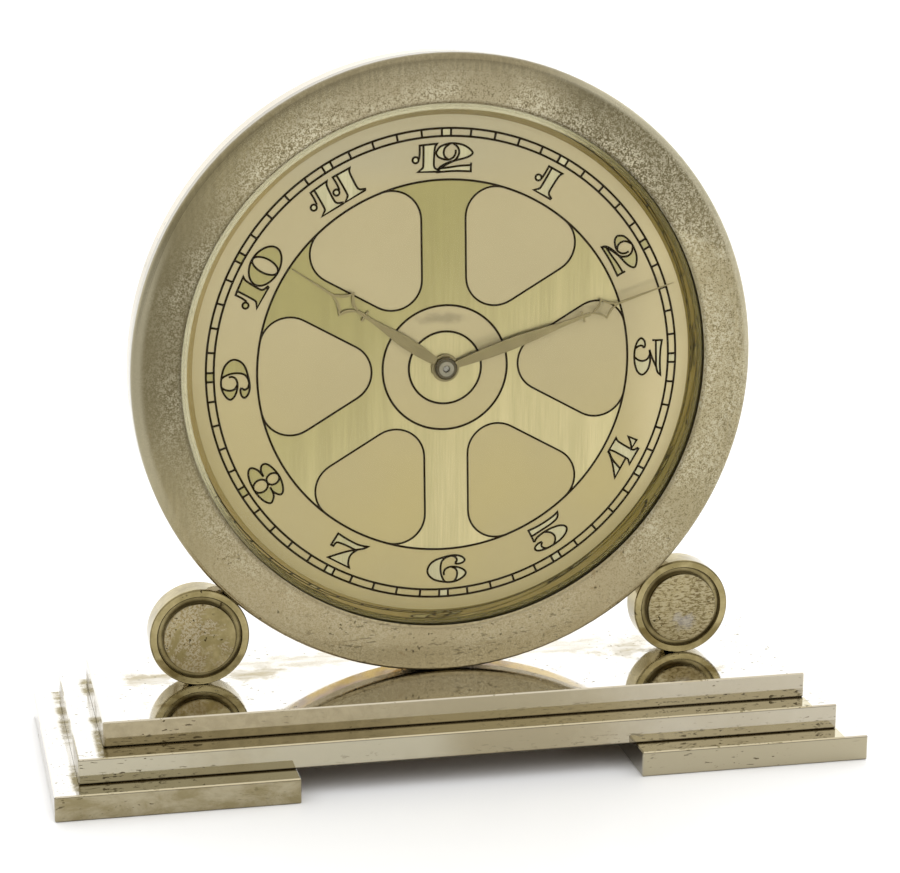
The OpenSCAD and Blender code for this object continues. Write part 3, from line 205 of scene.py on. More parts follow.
class Finish:
    """A material with one Principled shader, a tone and helpers that add nodes to it."""

    def __init__(self, name, tone=None, **sockets):
        self.material = bpy.data.materials.new(name)
        self.material.use_nodes = True
        self.tree = self.material.node_tree
        self.tree.nodes.clear()
        self.output = self.tree.nodes.new("ShaderNodeOutputMaterial")
        self.shader = self.tree.nodes.new("ShaderNodeBsdfPrincipled")
        self.tree.links.new(self.shader.outputs[0], self.output.inputs[0])
        self.place = self.tree.nodes.new("ShaderNodeTexCoord").outputs["Object"]
        self.tone = tone
        for key, value in sockets.items():
            self.set(key, value)

    def set(self, socket, value):
        feed(self.tree, self.shader.inputs[socket.replace("_", " ")], value)

    def done(self, roughness):
        """Sets the tone and the roughness, the last step of a finish."""
        self.set("Base_Color", self.tone)
        self.set("Roughness", roughness)
        return self

    def node(self, kind, inputs=None, **settings):
        return add_node(self.tree, kind, inputs, **settings)

    def mapped(self, scale=(1, 1, 1), shift=(0, 0, 0)):
        inputs = {"Vector": self.place, "Scale": scale, "Location": shift}
        return self.node("ShaderNodeMapping", inputs).outputs[0]

    def noise(self, scale, detail=3, rough=0.55, at=None, warp=0.0):
        inputs = {"Vector": at or self.place, "Scale": scale, "Detail": detail}
        inputs |= {"Roughness": rough, "Distortion": warp}
        return self.node("ShaderNodeTexNoise", inputs).outputs[0]

    def steps(self, value, low, high, out_low=0.0, out_high=1.0):
        """A smooth step from out_low at low to out_high at high."""
        inputs = {"Value": value, "From Min": low, "From Max": high}
        inputs |= {"To Min": out_low, "To Max": out_high}
        made = self.node("ShaderNodeMapRange", inputs, interpolation_type="SMOOTHSTEP")
        return made.outputs[0]

    def patches(self, low, high, scale, *details, **more):
        """Noise as patches: 0 under low, 1 over high."""
        return self.steps(self.noise(scale, *details, **more), low, high)

    def near(self, value, middle, far, close, *outs):
        """1 within close of a middle value, 0 past far."""
        return self.steps(self.maths("ABSOLUTE", self.less(value, middle)), far, close, *outs)

    def band(self, value, start, full, fade, end):
        """1 from full to fade, 0 before start and past end."""
        return self.times(self.steps(value, start, full), self.steps(value, end, fade))

    def maths(self, how, a, b=0.0):
        return self.node("ShaderNodeMath", {0: a, 1: b}, operation=how).outputs[0]

    def plus(self, a, b):
        return self.maths("ADD", a, b)

    def less(self, a, b):
        return self.maths("SUBTRACT", a, b)

    def times(self, first, *others):
        for other in others:
            first = self.maths("MULTIPLY", first, other)
        return first

    def most(self, first, *others):
        for other in others:
            first = self.maths("MAXIMUM", first, other)
        return first

    def shared(self, a, b, share):
        """A share of a and the rest of b."""
        return self.plus(self.times(a, share), self.times(b, 1 - share))

    def mix(self, factor, a, b):
        inputs = {0: factor, 6: a, 7: b}
        return self.node("ShaderNodeMix", inputs, data_type="RGBA").outputs[2]

    def tint(self, colour, *shares):
        """Lays a colour over the tone by the product of the shares."""
        self.tone = self.mix(self.times(*shares), self.tone, colour)

    def bump(self, height, strength, distance):
        inputs = {"Height": height, "Strength": strength, "Distance": distance}
        self.set("Normal", self.node("ShaderNodeBump", inputs).outputs[0])

    def split(self):
        return self.node("ShaderNodeSeparateXYZ", {0: self.place}).outputs

    def flecks(self, scale, share, mask, at=None):
        """Irregular flecks: 1 in a fleck, 0 outside; a larger share makes more and larger ones."""
        return self.times(self.patches(0.715 - share, 0.735 - share, scale, 2, 0.55, at), mask)

    def blob(self, centre, radii, ragged=0.5, scale=180):
        """A soft patch in millimetres: 1 at its middle, 0 past its radii, with a ragged edge."""
        shrink = [1 / (v * MM) for v in radii]
        near = self.mapped(shrink, [-c * MM * k for c, k in zip(centre, shrink)])
        wobble = self.steps(self.noise(scale, 4, 0.65), 0.25, 0.75, -ragged, ragged)
        return self.steps(self.plus(self.length_of(near), wobble), 1.0, 0.35)

    def length_of(self, vector):
        made = self.node("ShaderNodeVectorMath", {0: vector}, operation="LENGTH")
        return made.outputs["Value"]

    def facing(self, axis, low=0.5, high=0.8):
        """1 on faces that look along an axis, 0 on the others."""
        normal = self.node("ShaderNodeTexCoord").outputs["Normal"]
        made = self.node("ShaderNodeVectorMath", {0: normal, 1: axis}, operation="DOT_PRODUCT")
        return self.steps(made.outputs["Value"], low, high)

    def ring(self, centre, mirrored=False):
        """Distance from the front-to-back line through centre, and the two offsets; mirrored
        takes both sides of the clock alike."""
        x, _, z = self.split()
        across = self.less(self.maths("ABSOLUTE", x) if mirrored else x, centre.x)
        over = self.less(z, centre.z)
        both = self.node("ShaderNodeCombineXYZ", {0: across, 1: over}).outputs[0]
        return self.length_of(both), across, over


# Finishes


def nickel_finish(name, c):
    """Polished nickel plate: crisp, faintly clouded, with stretched pits and a film at the joints; its colour
    also holds painted reflections and painted shade.
    """
    top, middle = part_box("top_plate"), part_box("middle_plate")
    deck = top[1].z / MM
    f = Finish(name, c.nickel, Metallic=1.0)
    x, y, z = f.split()
    away = f.maths("ABSOLUTE", x)
    flat = f.facing(TOP)
    upright = f.facing(TOP, 0.5, 0.3)
    front = f.times(upright, f.facing(FRONT))
    under_deck = f.steps(z, top[1].z - 0.001, top[1].z - 0.003)
    worn = f.times(f.patches(0.45, 0.68, 26, 4, 0.6, warp=0.3), 0.6)
    f.tint(c.nickel_worn_and_shade, f.most(worn, f.steps(x, 0.045, -0.03, 0.0, 0.75)))
    mottled = f.patches(0.35, 0.7, 420, 4, 0.7, warp=0.4)
    f.tint(shade(c.nickel_worn_and_shade, 0.62), mottled, f.steps(x, 0.07, -0.04, 0.08, 0.4))
    # Painted reflection: the tops paler, as they mirror the pale room
    f.tint(c.nickel_painted_sheen, flat, 0.85)

    # The plates' fronts, in painted reflections: dark warm middle, paler right end, middle plate pale to the left,
    # feet with dull clouds to the left
    f.tint(FRONT_REFLECTION_WARM, front, f.near(x, 0.006, 0.034, 0.006), 0.9)
    f.tint(FRONT_REFLECTION_PALE, front, f.steps(x, 0.02, 0.045), 0.5)
    low, high, hair = middle[0].z, top[0].z, 0.0001
    of_middle = f.band(z, low - hair, low + hair, high - hair, high + hair)
    cloudy = f.steps(f.noise(60, 3), 0.25, 0.45, 0.6, 1.0)
    f.tint(MIDDLE_REFLECTION_PALE, front, of_middle, f.steps(x, 0.002, -0.010), cloudy, 0.9)
    clouds = f.patches(0.35, 0.65, 210, 5, 0.7, f.mapped((0.5, 1, 1)), warp=0.4)
    foot_tone = f.mix(f.times(clouds, f.steps(x, 0.0, -0.01)), FOOT_REFLECTION_PALE, FOOT_DULL)
    f.tint(foot_tone, front, f.steps(z, low + 2 * hair, low - 2 * hair), 0.85)
    # Painted shade: undersides darker
    f.tint(shade(c.tarnish_and_shade, 1.6), f.facing(UNDER, 0.6, 0.9))

    # Painted reflections: what the ledges and the deck mirror
    top_end, middle_end = top[1].x, middle[1].x
    upper = f.times(
        f.steps(z, high - 5 * hair, high - 2 * hair),
        f.steps(away, top_end + 2 * hair, top_end),
    )
    lower = f.times(
        f.steps(z, high - 5 * hair, high - 10 * hair),
        f.steps(away, middle_end + 2 * hair, middle_end),
    )
    before = f.steps(y, top[0].y, top[0].y - 2 * hair)
    f.tint(LEDGE_REFLECTION, flat, under_deck, before, f.most(upper, lower), 0.8)
    # Painted reflection: the deck darker where it mirrors the two rollers
    dim = f.most(f.blob((-54, -14, deck), (9.5, 8, 3)), f.blob((49, -14, deck), (9.5, 8, 3)))
    f.tint(c.nickel_worn_and_shade, dim, flat, 0.85)
    # Painted shade: faces that look left darker
    f.tint(shade(c.nickel_painted_sheen, 0.5), f.facing(LEFT, 0.6, 0.9), 0.5)
    f.tint(c.nickel_worn_and_shade, f.facing(FRONT_CORNER, 0.90, 0.97), 0.6)

    # Joints, the film beside them, and on the deck under the drum olive patches of its painted reflection and
    # shade
    seams = (high, low)
    joint = f.most(*(f.near(z, seam, 5 * hair, 2 * hair) for seam in seams))
    f.tint(c.tarnish_and_shade, joint, upright, 0.9)
    left_top, left_middle = top[0].x, middle[0].x
    on_upper = f.times(
        f.steps(x, left_top - 22 * hair, left_top - 2 * hair),
        f.steps(z, high - 6 * hair, high - 3 * hair),
    )
    inward = left_middle + 4 * hair
    on_lower = f.band(x, left_middle - 20 * hair, left_middle - 2 * hair, left_middle, inward)
    beside = f.most(on_upper, on_lower)
    patchy = f.patches(0.40, 0.56, 75, 3, 0.6, f.mapped((0.2, 1, 1)))
    ledge = f.times(beside, patchy, under_deck, f.steps(x, left_top + 0.001, left_top))
    # Under the drum the blobs paint the drum's reflection and shade in the deck; at the ledges' left ends it is a
    # film
    films_and_drum_reflection = f.most(
        f.blob((-62, 4, deck), (8, 5, 3)),
        f.blob((-40, 3, deck), (10, 6, 3)),
        f.times(f.blob((-26, 9, deck), (30, 6, 3)), 0.7),
        f.times(f.blob((22, 7, deck), (32, 7, 3)), 0.7),
        f.blob((40, 3, deck), (10, 6, 3)),
        f.times(ledge, 0.8),
    )
    ragged = f.patches(0.28, 0.74, 240, 5, 0.75, f.mapped((0.3, 1, 1)))
    f.tint(OLIVE_FILM_AND_REFLECTION, films_and_drum_reflection, ragged, flat, 0.85)
    mossy = f.patches(0.30, 0.54, 380, 5, 0.75)
    f.tint(MOSSY_FILM, f.steps(ledge, 0.0, 0.7), flat, mossy, 0.92)

    # Flecks
    stretched, thin = f.mapped((0.42, 1, 1.5)), f.mapped((0.34, 1, 1.4))
    drift = f.patches(0.47, 0.60, 55, 3, 0.6, f.mapped(shift=(0.3, 0.1, 0.2)))
    ends = f.steps(away, 0.015, 0.06, 0.3, 1.0)
    on_front = f.times(drift, front, f.steps(away, 0.01, 0.07, 0.2, 0.85))
    on_flat = f.times(f.patches(0.42, 0.55, 45, 3, 0.6), flat, 0.75)
    on_ledges = f.times(flat, under_deck, f.steps(y, top[0].y, top[0].y - 0.001), drift, ends, 0.85)
    by_seam = f.most(*(f.near(z, seam + 0.0013, 0.0015, 0.0007) for seam in seams))
    by_seam = f.times(by_seam, front, f.patches(0.42, 0.56, 70, 3), ends, 0.85)
    marks = f.most(
        f.flecks(1400, 0.05, on_front, thin),
        f.flecks(560, -0.02, f.times(f.patches(0.50, 0.58, 80, 2), upright), stretched),
        f.flecks(950, 0.04, on_flat),
        f.flecks(1500, 0.09, by_seam, thin),
        f.flecks(1400, 0.08, on_ledges, thin),
        f.flecks(1500, 0.14, f.times(ledge, flat, 0.9)),
    )
    f.tint(f.mix(flat, c.tarnish_and_shade, OLIVE_FLECK), marks)
    brown = f.most(
        f.blob((76.5, -40, 3.4), (4.2, 9, 1.8), 0.35, 700),
        f.blob((61, -40, 9.2), (6, 9, 1.4), 0.5, 500),
    )
    f.tint(c.stain, brown, 0.55)
    f.bump(f.plus(f.noise(260, 3), f.times(marks, -1.5)), 0.05, 0.00006)
    haze = f.steps(f.noise(120, 4, 0.6), 0.3, 0.75, 0.035, 0.11)
    return f.done(f.plus(haze, f.times(f.most(marks, films_and_drum_reflection), 0.3)))


def bezel_finish(name, c):
    """Nickel whose plating has gone grainy: pale specks on a warm grey ground, in drifts; its colour also
    holds painted reflections, a painted highlight and painted shade lines at its edges.
    """
    lip, edge = 0.0565, 0.0635
    f = Finish(name, Metallic=1.0)
    reach, across, over = f.ring(AXIS)
    outward = f.steps(reach, lip, edge)
    east, north = f.maths("DIVIDE", across, reach), f.maths("DIVIDE", over, reach)
    left, right = f.steps(east, -0.15, -0.85), f.steps(east, 0.25, 0.9)
    top, low = f.steps(north, 0.1, 0.9), f.steps(north, -0.35, -0.85)

    # The ground in painted reflections, by what each part of the ring mirrors: darker on the left and the upper
    # right, its own tones at the top and the foot, and a painted highlight on the right
    f.tone = f.mix(f.noise(30, 4, 0.6), c.bezel_dark, shade(c.bezel_dark, 1.3))
    dim = shade(c.bezel_dark, 0.62)
    f.tint(dim, left, f.band(north, -0.5, 0.0, 0.3, 0.8), 0.95)
    f.tint(BEZEL_TOP_REFLECTION, f.steps(north, 0.75, 1.0))
    f.tint(dim, f.steps(east, 0.25, 0.5), f.steps(north, 0.35, 0.7), 0.8)
    f.tint(BEZEL_LOW_REFLECTION, low)
    slanted = f.plus(over, f.times(across, 0.45))
    cut = f.steps(slanted, 0.0502, 0.0490)
    lit = f.times(f.steps(east, 0.55, 0.62), cut, f.steps(north, -0.85, -0.3))
    f.tint(BEZEL_HIGHLIGHT, lit, 0.85)

    # Specks and the hollows between them
    coarse = f.noise(1500, 3, 0.7, f.mapped(shift=(0.07, 0.0, 0.03)))
    grain = f.shared(f.noise(3300, 2, 0.75), coarse, 0.6)
    specks, hollows = f.steps(grain, 0.49, 0.545), f.steps(grain, 0.45, 0.405)
    drift = f.steps(f.noise(48, 4, 0.6, warp=0.5), 0.36, 0.62, 0.25, 1.0)
    inner = f.less(1.0, f.times(outward, 0.8))
    where = f.most(
        f.times(top, inner),
        f.times(left, inner, 0.55),
        f.times(right, 0.8),
        f.times(lit, 0.9),
        f.times(low, 0.3),
    )
    share = f.times(specks, drift, where)
    f.tint(c.bezel_light, share)
    f.tint(c.tarnish_and_shade, hollows, where, 0.62)
    brushed = f.patches(0.35, 0.65, 1500, 3, 0.6, f.mapped((1, 1, 0.12)))
    f.tint(shade(c.bezel_dark, 0.55), brushed, outward, f.steps(low, 0.0, 0.6, 0.28, 0.06))

    # Blotches, dots and, near the foot, dashes
    blotch = f.flecks(300, 0.07, f.times(f.patches(0.50, 0.60, 70, 3), f.most(low, 0.3)))
    foot = f.times(f.steps(north, -0.80, -0.93), f.patches(0.40, 0.55, 110, 3), 0.5)
    dashes = f.flecks(1500, 0.10, foot, f.mapped((0.4, 1, 1.3)))
    dots = f.flecks(900, 0.05, f.times(f.patches(0.48, 0.60, 90, 3), f.most(low, 0.12), 0.8))
    f.tint(c.stain, blotch, 0.45)
    f.tint(c.tarnish_and_shade, f.most(dots, dashes))

    # Painted highlights and painted shade lines at the ring's two edges
    upper_right = f.times(f.steps(east, 0.2, 0.5), f.steps(north, -0.2, 0.1))
    f.tint(c.bezel_light, f.steps(reach, 0.0630, 0.0640), upper_right, 0.6)
    rim = f.times(f.steps(reach, 0.0558, 0.0554), 0.25)
    upper_left = f.times(f.steps(north, 0.4, 0.8), f.steps(east, 0.6, 0.2))
    curl_shade = f.times(f.steps(reach, 0.0626, 0.0641), upper_left, 0.4)
    f.tint(c.tarnish_and_shade, f.most(rim, curl_shade))
    f.tint(c.bezel_light, f.steps(reach, 0.0622, 0.0636), f.steps(east, -0.86, -0.97), 0.3)
    f.bump(f.plus(share, f.times(f.noise(500, 3), 0.3)), 0.16, 0.00005)
    return f.done(f.plus(f.steps(where, 0.0, 0.8, 0.16, 0.40), f.times(share, 0.1)))


def roller_finish(name, c):
    """Turned nickel: polished rim and side, tarnished groove, brushed and pitted round face, and a
    painted highlight on the right roller's face.
    """
    face_in, face_edge, groove_out, groove_edge = 0.0074, 0.0077, 0.0086, 0.0090
    f = Finish(name, Metallic=1.0)
    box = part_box("roller_right")
    middle = (box[0] + box[1]) / 2
    reach, _, _ = f.ring(middle, mirrored=True)
    x = f.split()[0]
    face = f.steps(reach, face_edge, face_in)
    groove = f.band(reach, face_in, face_edge, groove_out, groove_edge)
    edges = f.most(
        f.band(reach, 0.0073, 0.0075, 0.0077, 0.0080),
        f.band(reach, 0.0083, 0.0085, 0.0087, 0.0089),
    )
    f.tone = f.mix(f.patches(0.35, 0.65, 150, 4, 0.65), ROLLER_PALE, ROLLER_DARK)
    right_face = f.times(face, f.steps(x, -0.001, 0.001))
    streaks = f.noise(2300, 3, 0.75, f.mapped((0.35, 1, 1)))
    f.tint(ROLLER_STREAK, right_face, f.steps(streaks, 0.47, 0.56), 0.9)
    f.tint(shade(c.stain, 0.55), right_face, f.steps(streaks, 0.48, 0.41), 0.9)
    f.tint(shade(c.nickel_worn_and_shade, 0.6), right_face, 0.15)
    bitten = f.patches(0.46, 0.53, 1900, 3, 0.7)
    worn = f.patches(0.46, 0.54, 130, 4, 0.65, warp=0.6)
    left_worn = f.times(face, worn, f.steps(x, 0.001, -0.001))
    f.tint(ROLLER_WORN, left_worn, bitten, 0.7)
    f.tint(c.stain, left_worn, f.steps(bitten, 0.4, 0.0), 0.55)
    # Painted highlight on the right roller's face
    highlight_at = (middle.x / MM + 0.5, box[0].y / MM, middle.z / MM - 3)
    f.tint(ROLLER_HIGHLIGHT, f.blob(highlight_at, (3.2, 3, 2.2), 0.4, 600), 0.4)
    dots = f.flecks(900, 0.05, f.patches(0.5, 0.6, 140, 3))
    f.tint(c.tarnish_and_shade, f.most(dots, f.times(edges, 0.55), f.times(groove, 0.1)))
    f.tint(c.tarnish_and_shade, f.steps(reach, 0.0100, 0.01025), f.facing(FRONT, 0.3, 0.6), 0.5)
    f.bump(f.times(f.noise(1400, 4, 0.7, f.mapped((0.3, 1, 1))), face), 0.3, 0.00005)
    return f.done(f.plus(0.09, f.times(f.most(face, groove), 0.26)))


def brushed_finish(name, tone, streak, rough, depth):
    """A metal with fine parallel brush lines; streak stretches the lines along one axis."""
    f = Finish(name, Metallic=1.0)
    along = f.mapped(streak)
    lines, broad = f.noise(700, 4, 0.65, along), f.noise(56, 3, 0.5, along)
    f.tone = f.mix(f.steps(f.shared(lines, broad, 0.6), 0.3, 0.7), shade(tone, 0.82), tone)
    f.bump(lines, depth, 0.00004)
    return f.done(f.steps(lines, 0.3, 0.7, rough * 0.8, rough * 1.25))


def case_finish(name, c):
    """Nickel of the drum and the rear, tinted gold by heat where the drum meets the base."""
    f = Finish(name, Metallic=1.0)
    reach, _, over = f.ring(AXIS)
    lines = f.noise(350, 4, 0.65, f.mapped((9, 1, 1)))
    worn = f.steps(f.noise(24, 4, 0.6, warp=0.4), 0.42, 0.66, 0.0, 0.7)
    f.tone = f.mix(f.steps(lines, 0.3, 0.7), shade(c.nickel_side, 0.85), c.nickel_side)
    f.tint(c.nickel_worn_and_shade, worn)
    wall = f.steps(f.most(f.facing(REAR, 0.2, 0.5), f.facing(FRONT, 0.2, 0.5)), 0.6, 0.1)
    foot = f.steps(f.maths("DIVIDE", over, reach), -0.80, -0.95)
    f.tint(f.mix(f.patches(0.42, 0.58, 60, 3), HEAT_GOLD, HEAT_MAUVE), foot, wall, 0.9)
    f.tint(c.tarnish_and_shade, f.flecks(700, 0.03, f.patches(0.48, 0.6, 60, 3)))
    f.bump(lines, 0.03, 0.00004)
    return f.done(f.steps(lines, 0.3, 0.7, 0.12, 0.19))


def sight_finish(name, c):
    """The sight ring: polished slope and rim, in painted shade to the right and at the foot, where it bears
    a painted reflection of the minute track; painted light on the left slope, painted shade under the lip."""
    low_line, high_line, rim_edge, glass_edge = 0.05370, 0.05425, 0.05465, 0.05490
    fine = 0.00005
    f = Finish(name)
    reach, across, over = f.ring(AXIS)
    east = f.maths("DIVIDE", across, reach)
    right = f.steps(east, 0.3, 0.8)
    low = f.steps(f.maths("DIVIDE", over, reach), -0.2, -0.8)
    shaded = f.most(right, low)
    rim = f.facing(FRONT, 0.75, 0.95)
    # Painted shade: darker to the right and at the foot
    f.tone = f.mix(f.most(right, f.times(low, 0.55)), c.gilt, c.gilt_shade)
    # Painted light: the slope paler to the left
    f.tint(shade(c.gilt, 1.35), f.less(1.0, rim), f.steps(east, 0.0, -0.7), 0.9)
    # Painted shade on the rim, right and low
    f.tint(c.gilt_rim_shade, rim, shaded, 0.95)
    f.tint(c.stain, f.steps(f.noise(300, 3), 0.45, 0.65, 0.0, 0.06))
    # A painted reflection of the minute track: two circles and ticks, stronger where the ring is in painted shade
    minutes = f.maths("FRACT", f.times(f.maths("ARCTAN2", across, over), 60 / math.tau))
    between = f.band(reach, low_line - fine, low_line, high_line, high_line + fine)
    track = f.most(
        f.near(reach, low_line, 0.00012, 0.00004),
        f.near(reach, high_line, 0.00010, 0.00004, 0.0, 0.7),
        f.times(f.near(minutes, 0.5, 0.045, 0.02), between),
    )
    f.tint(c.tarnish_and_shade, track, f.steps(shaded, 0.1, 0.6, 0.12, 0.72))
    # Painted shade: a dark line at the rim's outer edge, under the lip
    f.tint(c.tarnish_and_shade, f.steps(reach, rim_edge, glass_edge, 0.0, 0.75))
    # Under the lip the rim mirrors only itself and the lip, so it keeps some plain colour
    f.set("Metallic", f.steps(reach, low_line, 0.0547, 0.97, 0.6))
    return f.done(0.02)


def matt_finish(name, c):
    """The dial's matt, evenly grained ground, with faint clouds and rare pin marks. It is warmer toward
    the bottom, with painted light at the right edge, a cooler painted reflection at the upper left
    and painted shade along the lower edge.
    """
    f = Finish(name, c.dial_matt, Metallic=0.4)
    reach, across, over = f.ring(AXIS)
    red, green, blue = c.dial_matt
    warm, cool_reflection = (red, green * 0.98, blue * 0.80), (red * 0.92, green * 0.96, blue * 1.1)
    lower = f.steps(over, 0.02, -0.03)
    f.tint(warm, lower)
    # Painted light: the right edge brighter
    f.tint(shade(c.dial_matt, 1.30), f.steps(across, 0.037, 0.047))
    # Painted reflection: cooler at the upper left
    f.tint(cool_reflection, f.steps(over, 0.035, 0.045), f.steps(across, 0.035, 0.0))
    f.tint(shade(c.dial_matt, 0.9), f.steps(f.noise(28, 3, 0.5), 0.3, 0.7, 0.0, 0.5))
    # Painted shade along the lower edge
    f.tint(shade(warm, 0.6), f.steps(reach, 0.047, 0.053), lower, 0.5)
    # A darker patch just above the hub
    hub_dark_patch = f.blob((-1, 0, AXIS.z / MM + 10.3), (7, 9, 1.6), 0.35, 200)
    f.tint(shade(c.dial_matt, 0.45), hub_dark_patch, 0.55)
    f.tint(shade(c.dial_matt, 0.35), f.flecks(420, -0.03, f.patches(0.5, 0.58, 60, 2)))
    f.bump(f.noise(5200, 2, 0.6), 0.10, 0.00003)
    return f.done(f.steps(f.noise(1500, 2), 0.3, 0.7, 0.52, 0.64))


def polish_finish(name, c, pale=None):
    """The dial's upright brush lines, in painted shade to the upper left and painted light to the lower right;
    pale is the painted lit tone of fields lit at the top too, the others are lit at the hub's eye too."""
    f = Finish(name, Metallic=0.9)
    reach, across, over = f.ring(AXIS)
    slant = f.less(f.times(across, 0.6), f.times(over, 0.8))
    # Painted light where lit, painted shade elsewhere
    if pale:
        lit = f.most(f.steps(slant, -0.005, 0.03), f.steps(over, 0.028, 0.036))
    else:
        lit = f.most(f.steps(slant, -0.03, 0.03), f.steps(reach, 0.012, 0.006, 0.0, 0.75))
    f.tone = f.mix(lit, c.dial_polish, pale or c.dial_polish_lit)
    upright = f.mapped((1, 1, 0.035))
    lines = f.noise(2600, 3, 0.65, upright)
    both = f.shared(lines, f.noise(260, 3, 0.6, upright), 0.5)
    f.tint(shade(c.dial_polish, 0.62), f.steps(both, 0.35, 0.65, 0.32, 0.0))
    f.bump(lines, 0.12, 0.00003)
    return f.done(f.steps(lines, 0.3, 0.7, 0.30, 0.42))


def steel_finish(name, tone, rough=0.22):
    """Polished steel, darker where an arbor's end shows in front of the dial."""
    f = Finish(name, Metallic=1.0)
    f.tone = f.mix(f.patches(0.35, 0.7, 400, 3), tone, shade(tone, 0.8))
    f.tint(ARBOR_END, f.steps(f.split()[1], DIAL_Y, DIAL_Y - 0.0005), 0.8)
    f.bump(f.noise(1800, 2), 0.06, 0.00003)
    return f.done(f.steps(f.noise(900, 3), 0.3, 0.7, rough * 0.7, rough * 1.4))


def hand_finish(name, c):
    """Thin stamped brass, satin, a little darker toward the hub."""
    f = Finish(name, Metallic=1.0)
    f.tone = f.mix(f.steps(f.ring(AXIS)[0], 0.004, 0.03), shade(c.hand, 0.86), c.hand)
    f.tint(c.tarnish_and_shade, f.steps(f.noise(240, 2), 0.35, 0.65, 0.0, 0.12))
    return f.done(0.36)


def collet_finish(name, c):
    """Turned nickel with a dark ring round the arbor's end."""
    f = Finish(name, Metallic=1.0)
    reach, _, _ = f.ring(AXIS)
    f.tone = f.mix(f.patches(0.35, 0.7, 500, 3), shade(c.nickel, 0.62), shade(c.nickel, 0.5))
    round_arbor = f.band(reach, 0.00035, 0.00050, 0.00065, 0.00085)
    f.tint(c.tarnish_and_shade, f.most(round_arbor, f.steps(reach, 0.00148, 0.00160)), 0.85)
    return f.done(0.32)


def ink_finish(name, c):
    """Dull enamel, faintly uneven."""
    f = Finish(name, Specular_IOR_Level=0.06)
    f.tone = f.mix(f.noise(900, 2), c.ink, shade(c.ink, 2.2))
    f.bump(f.noise(2500, 2), 0.05, 0.00002)
    return f.done(f.steps(f.noise(1400, 2), 0.3, 0.7, 0.55, 0.7))


def glass_finish(name):
    """Clear glass that lets lamps and bounced light through to the dial."""
    f = Finish(name, (0.97, 0.985, 0.96), IOR=1.12, Transmission_Weight=1.0)
    clear = f.node("ShaderNodeBsdfTransparent", {"Color": (0.95, 0.97, 0.94)})
    path = f.node("ShaderNodeLightPath").outputs
    open_ray = f.most(path["Is Shadow Ray"], path["Is Diffuse Ray"])
    both = f.node("ShaderNodeMixShader", {0: open_ray, 1: f.shader.outputs[0], 2: clear.outputs[0]})
    f.tree.links.new(both.outputs[0], f.output.inputs[0])
    return f.done(0.0)


def finishes():
    """Each finish of the clock by its slot's name."""
    c = bpy.context.scene.clock_colours
    return {
        "nickel": nickel_finish("nickel plate", c),
        "roller_nickel": roller_finish("roller nickel", c),
        "case_nickel": case_finish("case nickel", c),
        "bezel_nickel": bezel_finish("bezel nickel", c),
        "glass": glass_finish("clock glass"),
        "gilt": sight_finish("sight ring gilt", c),
        "dial_champagne": matt_finish("dial champagne", c),
        "movement_brass": brushed_finish("plate brass", c.brass, (1, 1, 12), 0.3, 0.1),
        "wheel_brass": brushed_finish("wheel brass", shade(c.brass, 0.95), (6, 1, 1), 0.24, 0.08),
        "steel": steel_finish("polished steel", c.steel),
        "spring_steel": steel_finish("blued spring steel", c.blued, 0.3),
        "screw_steel": steel_finish("screw steel", shade(c.steel, 0.9), 0.26),
        "hand_brass": hand_finish("hand brass", c),
        "collet_nickel": collet_finish("collet nickel", c),
        "key_brass": brushed_finish("key brass", shade(c.brass, 0.9), (1, 5, 1), 0.28, 0.08),
        "dial_polish": polish_finish("dial polish", c),
        "numeral_polish": polish_finish("numeral polish", c, NUMERAL_POLISH_LIT),
        "dial_ink": ink_finish("dial ink", c),
    }


def finish_of(name):
    return bpy.data.materials[name]


# Flat work on the dial's face


def polar(radius, angle):
    return (radius * math.cos(angle), radius * math.sin(angle))


def arc(centre, radius, start, end, count):
    return [
        (centre[0] + x, centre[1] + y)
        for x, y in (polar(radius, start + (end - start) * i / count) for i in range(count + 1))
    ]


def circle(radius, count=144):
    return [polar(radius, i * math.tau / count) for i in range(count)]


def windows(sizes):
    """Outlines of the engraved wheel's windows, round the dial's centre."""
    half = sizes.spoke_width / 2
    inner = ((half + sizes.window_inner) * 2, 0)
    out_at = sizes.rim_radius - sizes.window_outer
    lean = math.pi / WHEEL_SPOKES - math.asin((half + sizes.window_outer) / out_at)
    third = math.tau / 3
    points = (
        arc((0, 0), sizes.rim_radius, -lean, lean, 14)
        + arc(polar(out_at, lean), sizes.window_outer, lean, third, 12)[1:]
        + arc(inner, sizes.window_inner, third, 2 * third, 14)
        + arc(polar(out_at, -lean), sizes.window_outer, -third, -lean, 12)[:-1]
    )
    turned = []
    for i in range(WHEEL_SPOKES):
        angle = i * math.tau / WHEEL_SPOKES + sizes.wheel_turn
        ca, sa = math.cos(angle), math.sin(angle)
        turned.append([(x * ca - y * sa, x * sa + y * ca) for x, y in points])
    return turned


def on_dial(x, y, height):
    """A point of the dial's face, seen from the front, standing height in front of the ground."""
    return Vector((x, DIAL_Y - height, AXIS.z + y))


def piece_from(name, mesh, body=FRAME_BODY):
    """A finished piece: its object at the origin and the body that it rides."""
    made = bpy.data.objects.new(name, mesh)
    bpy.context.scene.collection.objects.link(made)
    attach(made, body)
    return made


def clean_mesh(bm, name, material):
    bmesh.ops.remove_doubles(bm, verts=bm.verts, dist=1e-7)
    bmesh.ops.recalc_face_normals(bm, faces=bm.faces)
    mesh = bpy.data.meshes.new(name)
    bm.to_mesh(mesh)
    bm.free()
    mesh.materials.append(material)
    return mesh


def mesh_of(made):
    """The plain mesh of a helper object, which is then removed."""
    bpy.context.scene.collection.objects.link(made)
    bpy.context.view_layer.update()
    graph = bpy.context.evaluated_depsgraph_get()
    mesh = bpy.data.meshes.new_from_object(made.evaluated_get(graph))
    bpy.data.objects.remove(made)
    return mesh


